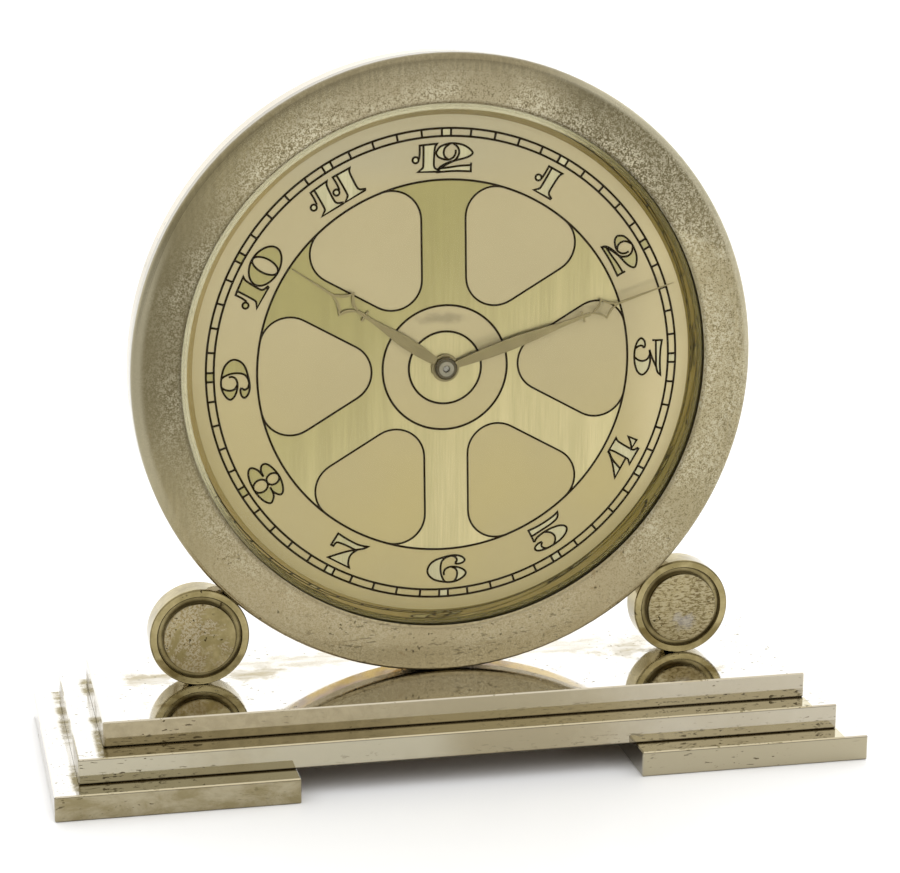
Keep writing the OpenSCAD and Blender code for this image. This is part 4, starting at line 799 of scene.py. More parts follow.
def add_ribbon(bm, points, width, top, closed=True):
    """A flat band along points on the dial's face, with its corners mitred."""
    points = [Vector(p) for p in points]
    count = len(points)
    rings = []
    for i, p in enumerate(points):
        before = points[i - 1] if i or closed else p * 2 - points[1]
        after = points[(i + 1) % count] if i < count - 1 or closed else p * 2 - points[i - 1]
        a = (p - before).normalized()
        b = (after - p).normalized()
        side_b = Vector((-b.y, b.x))
        side = Vector((-a.y, a.x)) + side_b
        side = side.normalized() if side.length > 1e-6 else side_b
        reach = min(1 / max(side.dot(side_b), 0.35), 2.2) * width / 2
        left, right = p + side * reach, p - side * reach
        corners = ((left, top), (right, top), (right, -SINK), (left, -SINK))
        rings.append([bm.verts.new(on_dial(at.x, at.y, height)) for at, height in corners])
    for i in range(count if closed else count - 1):
        a, b = rings[i], rings[(i + 1) % count]
        for k in range(4):
            bm.faces.new((a[k], a[(k + 1) % 4], b[(k + 1) % 4], b[k]))
    if not closed:
        bm.faces.new(rings[0])
        bm.faces.new(list(reversed(rings[-1])))


def flat_field(name, loops, height, material):
    """A thin plate on the dial's face inside the loops, with inner loops left open."""
    data = bpy.data.curves.new(name, "CURVE")
    data.dimensions = "2D"
    data.fill_mode = "BOTH"
    data.extrude = (height + SINK) / 2
    for loop in loops:
        spline = data.splines.new("POLY")
        spline.points.add(len(loop) - 1)
        for point, (x, y) in zip(spline.points, loop):
            point.co = (x, y, 0, 1)
        spline.use_cyclic_u = True
    mesh = mesh_of(bpy.data.objects.new(name, data))
    middle = on_dial(0, 0, (height - SINK) / 2)
    mesh.transform(Matrix.Translation(middle) @ Matrix.Rotation(math.pi / 2, 4, "X"))
    return joined(name, [mesh], material)


def joined(name, meshes, material):
    """Several plain meshes as one."""
    bm = bmesh.new()
    for mesh in meshes:
        bm.from_mesh(mesh)
        bpy.data.meshes.remove(mesh)
    return clean_mesh(bm, name, material)


# Numerals, each a set of strokes and fills in millimetres, upright, round the middle of its hour.
# A stroke's points are joined by a smooth curve; a third value of 1 marks a corner.
# An oval has its centre and two radii, a ball its centre and radius.

LOOP, OPEN = True, False
# Foot and height of the numerals, and twice the radius that bends two-figure hours
FOOT, GLYPH_HEIGHT, BEND = -2.6, 5.6, 87
ONE = {
    "lines": [
        (LOOP, [(-1.35, 3.05, 1), (1.3, 3.05, 1), (0.92, 2.3), (0.76, 0.3), (0.74, -1.4),
            (1.0, -2.0, 1), (1.78, -2.42, 1), (1.7, -2.66, 1), (-2.3, -2.66, 1), (-1.55, -2.0, 1),
            (-1.3, -1.3), (-1.26, 2.3)]),
        (OPEN, [(-1.35, 3.05, 1), (-2.0, 3.05, 1), (-1.98, 1.5), (-2.1, 0.1, 1)]),
    ],
    "balls": [((-2.77, 0.0), 0.62)],
    "fills": [
        [(-1.2, 2.95), (1.1, 2.95), (0.85, 2.2), (0.7, 0.3), (0.66, -1.5), (0.95, -2.1), (1.5, -2.5),
            (-1.9, -2.5), (-1.4, -1.9), (-1.25, -1.2)],
    ],
}
TWO = {
    "lines": [
        (OPEN, [(-4.68, 1.2), (-3.84, 2.36), (-2.14, 2.96), (-0.66, 3.05), (1.05, 2.78), (2.41, 2.07),
            (3.09, 1.25), (2.52, 0.55), (1.27, 0.0), (-0.2, -0.35), (-2.14, -0.9), (-3.61, -1.6),
            (-4.15, -2.2), (-4.3, -2.77, 1)]),
        (OPEN, [(-4.68, 1.2), (-4.18, 0.36), (-3.05, -0.16), (-1.9, -0.25), (-1.0, 0.2), (-0.55, 0.95),
            (-0.5, 1.75)]),
        (OPEN, [(-1.7, 2.98), (-2.7, 2.2), (-3.05, 1.27), (-2.8, 0.36), (-2.14, -0.2)]),
        (OPEN, [(-1.0, 3.03), (-0.1, 2.3), (0.25, 1.4), (0.02, 0.48), (-0.66, -0.38), (-2.2, -1.1),
            (-3.9, -2.0)]),
        (LOOP, [(-4.3, -2.77, 1), (-2.1, -2.64), (-0.1, -2.62), (2.72, -2.77, 1), (2.72, -1.45, 1),
            (0.36, -1.57), (-1.9, -1.85), (-3.9, -2.0, 1)]),
        (OPEN, [(2.72, -1.5), (2.82, -0.9)]),
    ],
    "fills": [
        [(0.0, 2.75), (1.0, 2.6), (2.3, 1.95), (2.9, 1.25), (2.35, 0.65), (1.2, 0.15), (0.15, -0.1),
            (0.35, 0.6), (0.45, 1.4), (0.3, 2.2)],
        [(-4.5, 1.2), (-3.7, 2.25), (-2.7, 2.7), (-3.1, 2.1), (-3.25, 1.27), (-3.1, 0.5), (-2.7, 0.05),
            (-4.0, 0.5)],
        [(-4.05, -2.6), (2.6, -2.6), (2.6, -1.65), (0.36, -1.75), (-3.8, -2.15)],
    ],
}
THREE = {
    "lines": [
        (LOOP, [(-3.86, 3.14, 1), (-2.05, 2.9), (0, 2.82), (1.8, 2.86), (3.6, 3.02, 1), (2.9, 2.35),
            (1.6, 2.02), (0.45, 1.98), (-1.6, 1.9), (-3.88, 1.84, 1)]),
        (OPEN, [(-3.88, 1.84, 1), (-3.95, 1.05, 1)]),
        (OPEN, [(1.7, 1.98, 1), (-0.45, 0.98), (-1.9, 0.5, 1)]),
        (OPEN, [(-1.9, 0.5, 1), (-0.68, 0.66), (0.9, 0.64), (2.5, 0.14), (3.4, -0.95), (2.7, -2.0),
            (1.1, -2.6), (-0.45, -2.77), (-2.05, -2.7), (-3.6, -2.25), (-4.45, -1.45), (-3.9, -0.7),
            (-2.95, -0.5), (-2.3, -0.68, 1)]),
        (OPEN, [(-0.9, 0.66), (0.1, 0.02), (0.45, -0.95), (0.2, -1.9), (-0.45, -2.72)]),
        (OPEN, [(-2.35, -0.75), (-2.84, -1.15), (-2.8, -1.85), (-2.27, -2.65)]),
    ],
    "fills": [
        [(-3.7, 2.95), (0, 2.68), (3.2, 2.8), (2.6, 2.4), (1.4, 2.18), (-3.7, 2.0)],
        [(-0.2, 0.5), (0.9, 0.48), (2.4, 0.0), (3.2, -0.95), (2.6, -1.9), (1.1, -2.45), (-0.1, -2.6),
            (0.4, -1.9), (0.65, -0.95), (0.3, 0.05)],
        [(-2.5, -0.7), (-2.95, -0.65), (-3.8, -0.85), (-4.2, -1.45), (-3.5, -2.1), (-2.5, -2.5),
            (-3.0, -1.85), (-3.0, -1.1)],
    ],
}
FOUR = {
    "lines": [
        (LOOP, [(0.68, 2.86, 1), (3.9, 2.86, 1), (3.5, 2.1), (3.36, 0.3), (3.36, -1.6),
            (3.65, -2.1, 1), (4.2, -2.45, 1), (4.15, -2.72, 1), (0.4, -2.72, 1), (1.0, -2.05, 1),
            (1.18, -1.5), (1.18, 2.2)]),
        (OPEN, [(0.68, 2.86, 1), (-0.95, 0.93), (-3.65, -1.42, 1), (1.18, -1.3, 1)]),
        (OPEN, [(0.62, 2.7, 1), (-0.45, 1.16), (-1.36, -1.25, 1)]),
        (LOOP, [(3.36, -1.32, 1), (5.6, -1.38, 1), (5.4, 0.62, 1), (4.7, -0.25), (3.8, -1.1)]),
    ],
    "fills": [
        [(1.3, 2.7), (3.6, 2.7), (3.3, 2.0), (3.2, -1.6), (3.6, -2.2), (3.9, -2.55), (0.75, -2.55),
            (1.2, -2.0), (1.33, -1.5)],
        [(0.3, 2.3), (-0.6, 1.15), (-1.5, -1.2), (-3.2, -1.25), (-0.85, 0.9)],
        [(4.1, -1.2), (5.4, -1.25), (5.25, 0.2), (4.7, -0.45)],
    ],
}
FIVE = {
    "lines": [
        (LOOP, [(-2.25, 2.92, 1), (-0.45, 2.68), (1.8, 2.64), (3.8, 2.78), (5.0, 3.05, 1), (4.75, 2.4),
            (4.1, 1.85), (2.5, 1.55), (0.2, 1.48), (-2.33, 1.44, 1)]),
        (OPEN, [(-2.33, 1.44, 1), (-2.45, 0.0, 1)]),
        (OPEN, [(-2.45, 0.0, 1), (-1.36, 0.58), (0.23, 0.77), (1.8, 0.72), (3.64, 0.34), (4.75, -0.3),
            (5.05, -1.1), (4.3, -2.0), (2.7, -2.6), (0.9, -2.78), (-0.9, -2.66), (-2.5, -2.18),
            (-3.05, -1.5), (-2.6, -0.95), (-1.75, -0.74), (-0.95, -0.86, 1)]),
        (OPEN, [(0.6, 0.72), (1.6, -0.1), (1.98, -1.1), (1.7, -2.0), (1.0, -2.74)]),
        (OPEN, [(-0.98, -0.93), (-1.48, -1.45), (-1.4, -2.1), (-0.8, -2.66)]),
    ],
    "fills": [
        [(-2.1, 2.75), (-0.4, 2.52), (1.8, 2.48), (4.6, 2.75), (4.5, 2.4), (3.9, 2.0), (2.4, 1.72),
            (-2.1, 1.62)],
        [(1.1, 0.6), (2.2, 0.5), (3.6, 0.15), (4.6, -0.45), (4.85, -1.1), (4.2, -1.85), (2.6, -2.42),
            (1.4, -2.55), (1.9, -2.0), (2.18, -1.1), (1.8, -0.1)],
        [(-1.2, -0.95), (-1.8, -0.92), (-2.5, -1.1), (-2.85, -1.5), (-2.4, -2.05), (-1.3, -2.42),
            (-1.6, -2.0), (-1.65, -1.4)],
    ],
}
SIX = {
    "lines": [
        (OPEN, [(4.6, 1.6), (4.0, 2.3), (2.84, 2.72), (1.48, 2.72), (-0.1, 2.42), (-1.8, 1.9),
            (-2.95, 1.05), (-3.5, -0.2), (-3.2, -1.34), (-2.05, -2.36), (-0.45, -2.86), (1.36, -3.1),
            (2.95, -2.8), (4.3, -2.0), (4.77, -1.2), (4.2, -0.43), (2.95, 0.12), (1.48, 0.27),
            (0.45, -0.1), (0.02, -0.8), (0.1, -1.5)]),
        (OPEN, [(4.6, 1.6), (3.98, 1.05), (2.95, 0.84), (2.35, 1.02, 1)]),
        (OPEN, [(2.45, 1.1), (2.84, 1.7), (2.4, 2.4), (1.48, 2.72)]),
        (OPEN, [(1.48, 2.7), (0.34, 2.3), (-0.45, 1.5), (-0.7, 0.14), (-0.57, -1.2), (-0.1, -2.4),
            (0.3, -2.95)]),
        (OPEN, [(1.7, 0.25), (2.6, -0.3), (2.9, -1.2), (2.7, -2.25), (2.2, -3.0)]),
    ],
    "fills": [
        [(0.3, 2.35), (-0.1, 2.25), (-1.7, 1.75), (-2.8, 0.95), (-3.3, -0.2), (-3.0, -1.25),
            (-1.9, -2.2), (-0.3, -2.7), (-0.75, -1.3), (-0.9, 0.14), (-0.65, 1.5)],
        [(2.6, 0.05), (4.05, -0.55), (4.55, -1.2), (4.1, -1.85), (2.7, -2.7), (2.9, -2.2), (3.1, -1.2),
            (2.85, -0.4)],
        [(2.75, 2.5), (3.9, 2.15), (4.4, 1.6), (3.9, 1.2), (2.85, 1.02), (3.05, 1.7)],
    ],
}
SEVEN = {
    "lines": [
        (LOOP, [(-2.27, 2.34, 1), (-0.23, 2.14), (2.27, 2.08), (3.86, 2.36), (4.82, 2.68, 1),
            (4.1, 1.84), (2.95, 1.0), (1.6, 0.02), (0, -1.45), (-1.65, -3.1, 1), (3.5, -3.1, 1),
            (2.84, -2.36), (2.4, -1.1), (2.5, -0.1), (3.0, 0.85, 1), (0.68, 0.86), (-1.1, 0.7),
            (-1.7, 0.4), (-1.85, -0.45, 1), (-2.4, -0.45, 1)]),
    ],
    "fills": [
        [(-2.1, 2.15), (-0.2, 1.98), (2.27, 1.92), (4.4, 2.4), (3.9, 1.85), (2.95, 1.15), (0.68, 1.02),
            (-1.3, 0.85), (-1.9, 0.4), (-2.05, -0.3), (-2.25, -0.3)],
        [(2.75, 0.7), (1.6, -0.15), (0.15, -1.5), (-1.25, -2.95), (3.1, -2.95), (2.65, -2.3),
            (2.22, -1.1), (2.3, 0.0)],
    ],
}
EIGHT = {
    "lines": [
        (OPEN, [(-0.5, -0.2, 1), (-1.8, -0.05), (-2.6, 0.48), (-2.8, 1.16), (-2.27, 1.84),
            (-0.9, 2.36), (0.95, 2.6), (2.7, 2.36), (4.2, 1.73), (4.7, 0.93), (4.1, 0.25),
            (3.2, -0.17), (2.15, -0.2, 1)]),
        (OPEN, [(-0.5, -0.2, 1), (-2.05, -0.42), (-3.05, -0.95), (-3.5, -1.6), (-3.05, -2.36),
            (-1.6, -3.0), (0.7, -3.3), (2.6, -3.16), (4.3, -2.6), (5.15, -1.7), (4.3, -0.6),
            (3.2, -0.24), (2.15, -0.2, 1)]),
    ],
    "ovals": [((0.93, 1.2), 1.18, 1.38), ((0.9, -1.74), 1.34, 1.56)],
    "fills": [
        [(-0.1, 2.35), (-1.0, 2.15), (-2.15, 1.7), (-2.6, 1.16), (-2.4, 0.6), (-1.7, 0.15),
            (0.1, 0.05), (-0.35, 0.7), (-0.4, 1.4)],
        [(1.9, 2.3), (2.7, 2.15), (4.0, 1.6), (4.5, 0.93), (4.0, 0.4), (3.1, 0.02), (1.8, 0.05),
            (2.25, 0.8), (2.2, 1.6)],
        [(-0.1, -0.4), (-2.0, -0.6), (-2.9, -1.1), (-3.3, -1.6), (-2.9, -2.2), (-1.5, -2.8),
            (0.0, -3.05), (-0.6, -2.3), (-0.6, -1.2)],
        [(1.9, -0.4), (3.2, -0.45), (4.2, -0.8), (4.9, -1.7), (4.15, -2.45), (2.5, -3.0),
            (1.85, -3.05), (2.4, -2.3), (2.4, -1.2)],
    ],
}
ZERO = {
    "ovals": [((0.98, 0.13), 4.32, 2.95), ((0.98, 0.13), 1.45, 2.9)],
    "fills": [
        [(0.3, 2.85), (-1.2, 2.5), (-2.5, 1.75), (-3.1, 0.6), (-3.0, -0.6), (-2.2, -1.7), (-1.0, -2.4),
            (0.3, -2.6), (-0.35, -1.6), (-0.65, 0.13), (-0.35, 1.8)],
        [(1.7, 2.85), (3.1, 2.5), (4.4, 1.75), (5.05, 0.6), (4.95, -0.6), (4.15, -1.7), (2.9, -2.4),
            (1.7, -2.6), (2.3, -1.6), (2.6, 0.13), (2.3, 1.8)],
    ],
}
# Each hour: its glyphs with their shift along the line and their width factor; -1 turns one over
SINGLE = (ONE, TWO, THREE, FOUR, FIVE, SIX, SEVEN, EIGHT)
HOURS = {hour: [(glyph, 0, 1)] for hour, glyph in enumerate(SINGLE, 1)}
HOURS |= {
    9: [(SIX, 0, -1)],
    10: [(ONE, -4.6, 1.22), (ZERO, 0, 1)],
    11: [(ONE, -3.1, 1.22), (ONE, 2.25, 1.18)],
    12: [(ONE, -3.35, 1.08), (TWO, 2.43, 0.98)],
}
# Hours whose numerals stand with their feet toward the rim
UPRIGHT = (4, 5, 6, 7, 8)


def curve_through(points, closed, steps=6):
    """A Catmull-Rom curve through points, broken at the corners."""
    sharp = [len(p) > 2 for p in points]
    flat = [Vector(p[:2]) for p in points]
    count = len(flat)
    last = count if closed else count - 1
    out = []
    for i in range(last):
        j = (i + 1) % count
        a, b = flat[i], flat[j]
        before = flat[i - 1] if (i or closed) and not sharp[i] else a * 2 - b
        after = flat[(j + 1) % count] if (j < count - 1 or closed) and not sharp[j] else b * 2 - a
        starts_straight = sharp[i] or (not closed and i == 0)
        ends_straight = sharp[j] or (not closed and j == count - 1)
        parts = 1 if starts_straight and ends_straight else steps
        first = b - before
        second = 2 * before - 5 * a + 4 * b - after
        third = 3 * a - before - 3 * b + after
        for k in range(parts):
            t = k / parts
            out.append(0.5 * (2 * a + first * t + second * t * t + third * t * t * t))
    if not closed:
        out.append(flat[-1])
    return [tuple(p) for p in out]


def numeral_paths(hour, radius):
    """The strokes and fills of one hour's numeral, on the dial, in metres."""
    out = Vector(polar(1, math.radians(90 - 30 * hour)))
    up = -out if hour in UPRIGHT else out
    right = Vector((up.y, -up.x))

    def place(points, shift, width):
        placed = []
        for x, y in points:
            x = x * (1 if width < 0 else width) + shift
            if len(HOURS[hour]) > 1:
                y -= x * x / BEND * max(0, min(1, (y - FOOT) / GLYPH_HEIGHT))
            if width < 0:
                x, y = -x, -y
            at = out * radius + (right * x + up * y) * MM
            placed.append((at.x, at.y))
        return placed

    strokes, fills = [], []
    for glyph, shift, width in HOURS[hour]:
        for closed, points in glyph.get("lines", ()):
            strokes.append((closed, place(curve_through(points, closed), shift, width)))
        for (cx, cy), rx, ry in glyph.get("ovals", ()):
            loop = [(cx + rx * x, cy + ry * y) for x, y in circle(1, 48)]
            strokes.append((True, place(loop, shift, width)))
        for centre, r in glyph.get("balls", ()):
            mid = place([centre], shift, width)[0]
            strokes.append((True, [(mid[0] + x, mid[1] + y) for x, y in circle(r * MM, 24)]))
            fills.append([(mid[0] + x, mid[1] + y) for x, y in circle((r - 0.1) * MM, 20)])
        for points in glyph["fills"]:
            fills.append(place(points, shift, width))
    return strokes, fills


# Rings of equal blocks by Geometry Nodes


RING_VALUES = ("Count", "Skip Every", "Phase", "Radius", "Length", "Width", "Height")
RING_VALUES += ("Depth", "Level", "Finish")


def ring_tree():
    """A node group that sets equal blocks in a ring on the dial's face."""
    tree = bpy.data.node_groups.new("ring of blocks", "GeometryNodeTree")
    face = tree.interface
    kinds = {"Count": "Int", "Skip Every": "Int", "Finish": "Material"}
    for name in RING_VALUES:
        kind = "NodeSocket" + kinds.get(name, "Float")
        face.new_socket(name=name, in_out="INPUT", socket_type=kind)
    face.new_socket(name="Geometry", in_out="OUTPUT", socket_type="NodeSocketGeometry")

    def maths(how, *values):
        inputs = dict(enumerate(values))
        return add_node(tree, "ShaderNodeMath", inputs, operation=how).outputs[0]

    def vector(*values):
        return add_node(tree, "ShaderNodeCombineXYZ", dict(enumerate(values))).outputs[0]

    def shape(kind, **inputs):
        return add_node(tree, kind, inputs).outputs[0]

    sizes = add_node(tree, "NodeGroupInput").outputs
    index = shape("GeometryNodeInputIndex")
    angle = maths("MULTIPLY_ADD", maths("DIVIDE", index, sizes["Count"]), math.tau, sizes["Phase"])
    x = maths("MULTIPLY", maths("COSINE", angle), sizes["Radius"])
    z = maths("MULTIPLY_ADD", maths("SINE", angle), sizes["Radius"], sizes["Level"])
    points = shape("GeometryNodePoints", Count=sizes["Count"])
    placed = shape("GeometryNodeSetPosition", Geometry=points, Position=vector(x, sizes["Depth"], z))
    skip = sizes["Skip Every"]
    off_step = maths("GREATER_THAN", maths("MODULO", index, skip), 0.5)
    kept = maths("MAXIMUM", off_step, maths("LESS_THAN", skip, 0.5))
    size = vector(sizes["Length"], sizes["Height"], sizes["Width"])
    block = shape("GeometryNodeMeshCube", Size=size)
    copies = shape(
        "GeometryNodeInstanceOnPoints",
        Points=placed,
        Selection=kept,
        Instance=block,
        Rotation=vector(0.0, maths("MULTIPLY", angle, -1.0)),
    )
    real = shape("GeometryNodeRealizeInstances", Geometry=copies)
    dressed = shape("GeometryNodeSetMaterial", Geometry=real, Material=sizes["Finish"])
    tree.links.new(dressed, add_node(tree, "NodeGroupOutput").inputs[0])
    return tree


def ring_of_blocks(tree, **values):
    """The plain mesh that the ring tree makes with these values."""
    made = bpy.data.objects.new("ring", bpy.data.meshes.new("ring"))
    modifier = made.modifiers.new("ring", "NODES")
    modifier.node_group = tree
    for item in tree.interface.items_tree:
        if item.in_out == "INPUT" and item.name in values:
            modifier[item.identifier] = values[item.name]
    mesh = mesh_of(made)
    mesh.materials.clear()
    return mesh


# One operator for each piece or group of like pieces


class CLOCK_OT_finishes(bpy.types.Operator):
    """Give every solid of the clock its finish"""

    bl_idname = "clock.finishes"
    bl_label = "Metal Finishes"

    def execute(self, context):
        by_slot = finishes()
        for node, made in frame["nodes"].items():
            made.data.materials.clear()
            made.data.materials.append(by_slot[SLOT_OF[node]].material)
        return {"FINISHED"}


class CLOCK_OT_glass(bpy.types.Operator):
    """Set the flat glass a hair clear of the rim behind it and of the lip before it"""

    bl_idname = "clock.glass"
    bl_label = "Glass"

    def execute(self, context):
        low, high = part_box("glass")
        front_y, back_y = low.y + 0.03 * MM, high.y - 0.08 * MM
        bm = bmesh.new()
        edge = circle((high.x - low.x) / 2 - 0.02 * MM, 180)
        front, back = (
            [bm.verts.new((AXIS.x + x, y, AXIS.z + z)) for x, z in edge] for y in (front_y, back_y)
        )
        bm.faces.new(front)
        bm.faces.new(list(reversed(back)))
        for i in range(len(edge)):
            k = (i + 1) % len(edge)
            bm.faces.new((front[i], front[k], back[k], back[i]))
        mesh = clean_mesh(bm, "clock_glass", finish_of("clock glass"))
        made = piece_from("clock_glass", mesh)
        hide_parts("glass")
        return {"FINISHED"}


class CLOCK_OT_dial_polish(bpy.types.Operator):
    """Lay the brushed spokes and the brushed eye of the hub on the dial"""

    bl_idname = "clock.dial_polish"
    bl_label = "Brushed Spokes"

    def execute(self, context):
        s = context.scene.clock_dial
        collet_room = 2.2 * MM
        spokes = [circle(s.rim_radius + 0.05 * MM), circle(s.hub_radius)] + windows(s)
        eye = [circle(s.eye_radius), circle(collet_room, 48)]
        for name, loops in (("dial_spokes", spokes), ("dial_eye", eye)):
            mesh = flat_field(name, loops, s.polish_height, finish_of("dial polish"))
            piece_from(name, mesh)
        return {"FINISHED"}


class CLOCK_OT_dial_lines(bpy.types.Operator):
    """Fill the engraved wheel and the circles of the minute track with enamel"""

    bl_idname = "clock.dial_lines"
    bl_label = "Enamelled Lines"

    def execute(self, context):
        s = context.scene.clock_dial
        bm = bmesh.new()
        track_inner = s.track_radius - s.track_width
        for radius in (s.rim_radius, s.hub_radius, s.eye_radius, s.track_radius, track_inner):
            add_ribbon(bm, circle(radius, 180), s.line_width, s.ink_height)
        for outline in windows(s):
            add_ribbon(bm, outline, s.line_width * 0.9, s.ink_height * 0.9)
        mesh = clean_mesh(bm, "dial_lines", finish_of("dial ink"))
        piece_from("dial_lines", mesh)
        return {"FINISHED"}


class CLOCK_OT_minute_track(bpy.types.Operator):
    """Set the minute lines and the polished hour cells in the minute track"""

    bl_idname = "clock.minute_track"
    bl_label = "Minute Track"

    def execute(self, context):
        s = context.scene.clock_dial
        tree = ring_tree()
        ink, polish = finish_of("dial ink"), finish_of("numeral polish")
        middle = s.track_radius - s.track_width / 2
        common = {"Radius": middle, "Level": AXIS.z, "Depth": DIAL_Y, "Length": s.track_width}
        line = common | {"Width": s.line_width, "Height": 2 * s.ink_height, "Finish": ink}
        cell = common | {"Width": middle * s.hour_cell, "Height": 2 * s.polish_height}
        cell |= {"Finish": polish, "Count": 12}
        rings = [line | {"Count": 60, "Skip Every": 5}]
        rings += [line | {"Count": 12, "Phase": side * s.hour_cell / 2} for side in (-1, 1)]
        lines = joined("minute_lines", [ring_of_blocks(tree, **ring) for ring in rings], ink)
        piece_from("minute_lines", lines)
        cells = joined("hour_cells", [ring_of_blocks(tree, **cell)], polish)
        piece_from("hour_cells", cells)
        return {"FINISHED"}


class CLOCK_OT_numerals(bpy.types.Operator):
    """Draw the outlined numerals and their polished fields"""

    bl_idname = "clock.numerals"
    bl_label = "Numerals"

    def execute(self, context):
        s = context.scene.clock_dial
        bm = bmesh.new()
        loops = []
        for hour in HOURS:
            strokes, fills = numeral_paths(hour, s.numeral_radius)
            for closed, points in strokes:
                add_ribbon(bm, points, s.line_width * 0.95, s.ink_height, closed)
            loops += fills
        mesh = clean_mesh(bm, "numeral_lines", finish_of("dial ink"))
        piece_from("numeral_lines", mesh)
        mesh = flat_field("numeral_fields", loops, s.polish_height, finish_of("numeral polish"))
        piece_from("numeral_fields", mesh)
        return {"FINISHED"}


class CLOCK_OT_studio(bpy.types.Operator):
    """Set the floor, the light and the camera"""

    bl_idname = "clock.studio"
    bl_label = "Studio"

    def execute(self, context):
        studio_floor(context.scene)
        studio_sky(context.scene)
        softbox(context.scene)
        hand_shadow_lamp(context.scene)
        camera(context.scene)
        return {"FINISHED"}


# Stage


def studio_floor(scene):
    """A pale floor, with a painted shadow under the clock, warm with the metal's reflected tint."""
    bm = bmesh.new()
    bmesh.ops.create_grid(bm, x_segments=2, y_segments=2, size=4.0)
    mesh = bpy.data.meshes.new("studio_floor")
    bm.to_mesh(mesh)
    bm.free()
    floor = bpy.data.objects.new("studio_floor", mesh)
    scene.collection.objects.link(floor)
    f = Finish("studio floor", Specular_IOR_Level=0.4)
    x, y, _ = f.split()
    f.tone = f.mix(f.noise(3, 2), *FLOOR_PALE)
    # Painted shadow under the clock, warm with the metal's reflected tint
    across = f.steps(f.maths("ABSOLUTE", x), 0.082, 0.080)
    f.tint(FLOOR_PAINTED_SHADOW, across, f.band(y, -0.028, -0.008, 0.0265, 0.0285))
    mesh.materials.append(f.done(0.28).material)


def studio_sky(scene):
    """A white room for the camera, which lights the clock from above and from the rear."""
    scene.view_settings.view_transform = "Standard"
    scene.world = bpy.data.worlds.new("studio sky")
    scene.world.use_nodes = True
    tree = scene.world.node_tree
    tree.nodes.clear()

    def add(kind, inputs, **settings):
        return add_node(tree, kind, inputs, **settings).outputs[0]

    way = add_node(tree, "ShaderNodeTexCoord").outputs["Generated"]
    parts = add_node(tree, "ShaderNodeSeparateXYZ", {0: way}).outputs

    def ramp(part, low, high, dim, bright):
        inputs = {"Value": part, "From Min": low, "From Max": high, "To Min": dim, "To Max": bright}
        return add("ShaderNodeMapRange", inputs, interpolation_type="SMOOTHSTEP")

    rear, above = ramp(parts["Y"], -0.2, 0.5, 0.93, 1.6), ramp(parts["Z"], 0.25, 0.85, 0.93, 1.45)
    power = add("ShaderNodeMath", {0: rear, 1: above}, operation="MAXIMUM")
    light = add("ShaderNodeBackground", {0: (1.0, 1.0, 0.995), 1: power})
    white = add("ShaderNodeBackground", {0: (1, 1, 1)})
    seen = add_node(tree, "ShaderNodeLightPath").outputs["Is Camera Ray"]
    either = add("ShaderNodeMixShader", {0: seen, 1: light, 2: white})
    add_node(tree, "ShaderNodeOutputWorld", {0: either})


def lamp(scene, name, kind, toward, power):
    """A lamp that shines along a direction."""
    data = bpy.data.lights.new(name, kind)
    data.energy = power
    made = bpy.data.objects.new(name, data)
    scene.collection.objects.link(made)
    made.rotation_euler = toward.to_track_quat("-Z", "Y").to_euler()
    return made


def softbox(scene):
    at, target = Vector((0.5, -1.0, 0.7)), Vector((0, 0, 0.07))
    made = lamp(scene, "front softbox", "AREA", target - at, 0.5)
    made.location = at
    made.data.shape = "RECTANGLE"
    made.data.size, made.data.size_y = 0.7, 0.7
    made.data.color = (1, 0.98, 0.94)
    made.visible_camera = False


def hand_shadow_lamp(scene):
    """A low sun from the right that lights the dial alone, so that only the hands shade it."""
    made = lamp(scene, "hand shadow sun", "SUN", Vector((-1.5, 1, 1.35)), 2.4)
    made.data.angle = math.radians(9)
    made.visible_glossy = False
    lit = bpy.data.collections.new("lit by the low sun")
    shading = bpy.data.collections.new("shading the low sun")
    for name in ON_DIAL:
        lit.objects.link(scene.objects[name])
    lit.objects.link(frame["nodes"]["dial"])
    for node in HANDS:
        shading.objects.link(frame["nodes"][node])
    made.light_linking.receiver_collection = lit
    made.light_linking.blocker_collection = shading


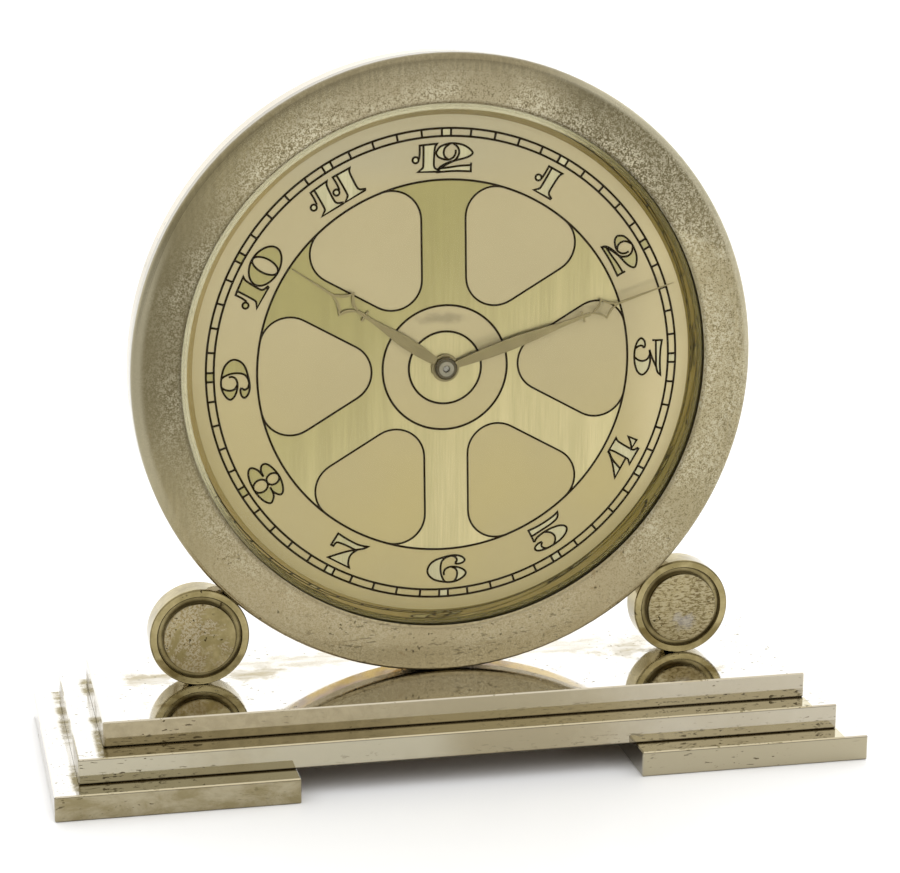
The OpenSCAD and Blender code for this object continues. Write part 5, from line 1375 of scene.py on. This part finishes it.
def camera(scene):
    """The photograph's viewpoint, with the principal point a little off the middle."""
    wide, high, focal, middle_x, middle_y = 900, 873, 2635.3, 447.4, 437.55
    yaw, pitch, roll = (math.radians(v) for v in (12.55, 14.6, 0.38))
    data = bpy.data.cameras.new("clock camera")
    made = bpy.data.objects.new("clock camera", data)
    scene.collection.objects.link(made)
    scene.camera = made
    data.sensor_fit = "HORIZONTAL"
    data.sensor_width = 36
    data.lens = focal / wide * data.sensor_width
    data.shift_x = (wide / 2 - middle_x) / wide
    data.shift_y = (middle_y - high / 2) / wide
    data.clip_start = 0.01
    ahead = Vector((math.sin(yaw) * math.cos(pitch), math.cos(yaw) * math.cos(pitch), -math.sin(pitch)))
    side = Vector((math.cos(yaw), -math.sin(yaw), 0))
    over = side.cross(ahead)
    right = side * math.cos(roll) + over * math.sin(roll)
    up = over * math.cos(roll) - side * math.sin(roll)
    look = Matrix((right, up, -ahead)).transposed().to_4x4()
    made.matrix_world = Matrix.Translation((-0.11443, -0.51681, 0.20415)) @ look


# Panel and registration


class CLOCK_PT_panel(bpy.types.Panel):
    bl_idname = "CLOCK_PT_panel"
    bl_label = "Desk Clock"
    bl_space_type = "VIEW_3D"
    bl_region_type = "UI"
    bl_category = "Clock"

    def draw(self, context):
        for made in PIECES:
            self.layout.operator(made.bl_idname)
        for group in (context.scene.clock_dial, context.scene.clock_colours):
            box = self.layout.box()
            for name in group.__annotations__:
                box.prop(group, name)


PIECES = (
    CLOCK_OT_finishes,
    CLOCK_OT_glass,
    CLOCK_OT_dial_polish,
    CLOCK_OT_dial_lines,
    CLOCK_OT_minute_track,
    CLOCK_OT_numerals,
    CLOCK_OT_studio,
)
CLASSES = (DialSizes, Colours) + PIECES + (CLOCK_PT_panel,)


def register():
    for made in CLASSES:
        bpy.utils.register_class(made)
    bpy.types.Scene.clock_dial = bpy.props.PointerProperty(type=DialSizes)
    bpy.types.Scene.clock_colours = bpy.props.PointerProperty(type=Colours)


def unregister():
    del bpy.types.Scene.clock_colours
    del bpy.types.Scene.clock_dial
    for made in reversed(CLASSES):
        bpy.utils.unregister_class(made)


def main():
    register()
    bpy.ops.clock.finishes()
    bpy.ops.clock.glass()
    bpy.ops.clock.dial_polish()
    bpy.ops.clock.dial_lines()
    bpy.ops.clock.minute_track()
    bpy.ops.clock.numerals()
    bpy.ops.clock.studio()


if __name__ == "__main__":
    main()
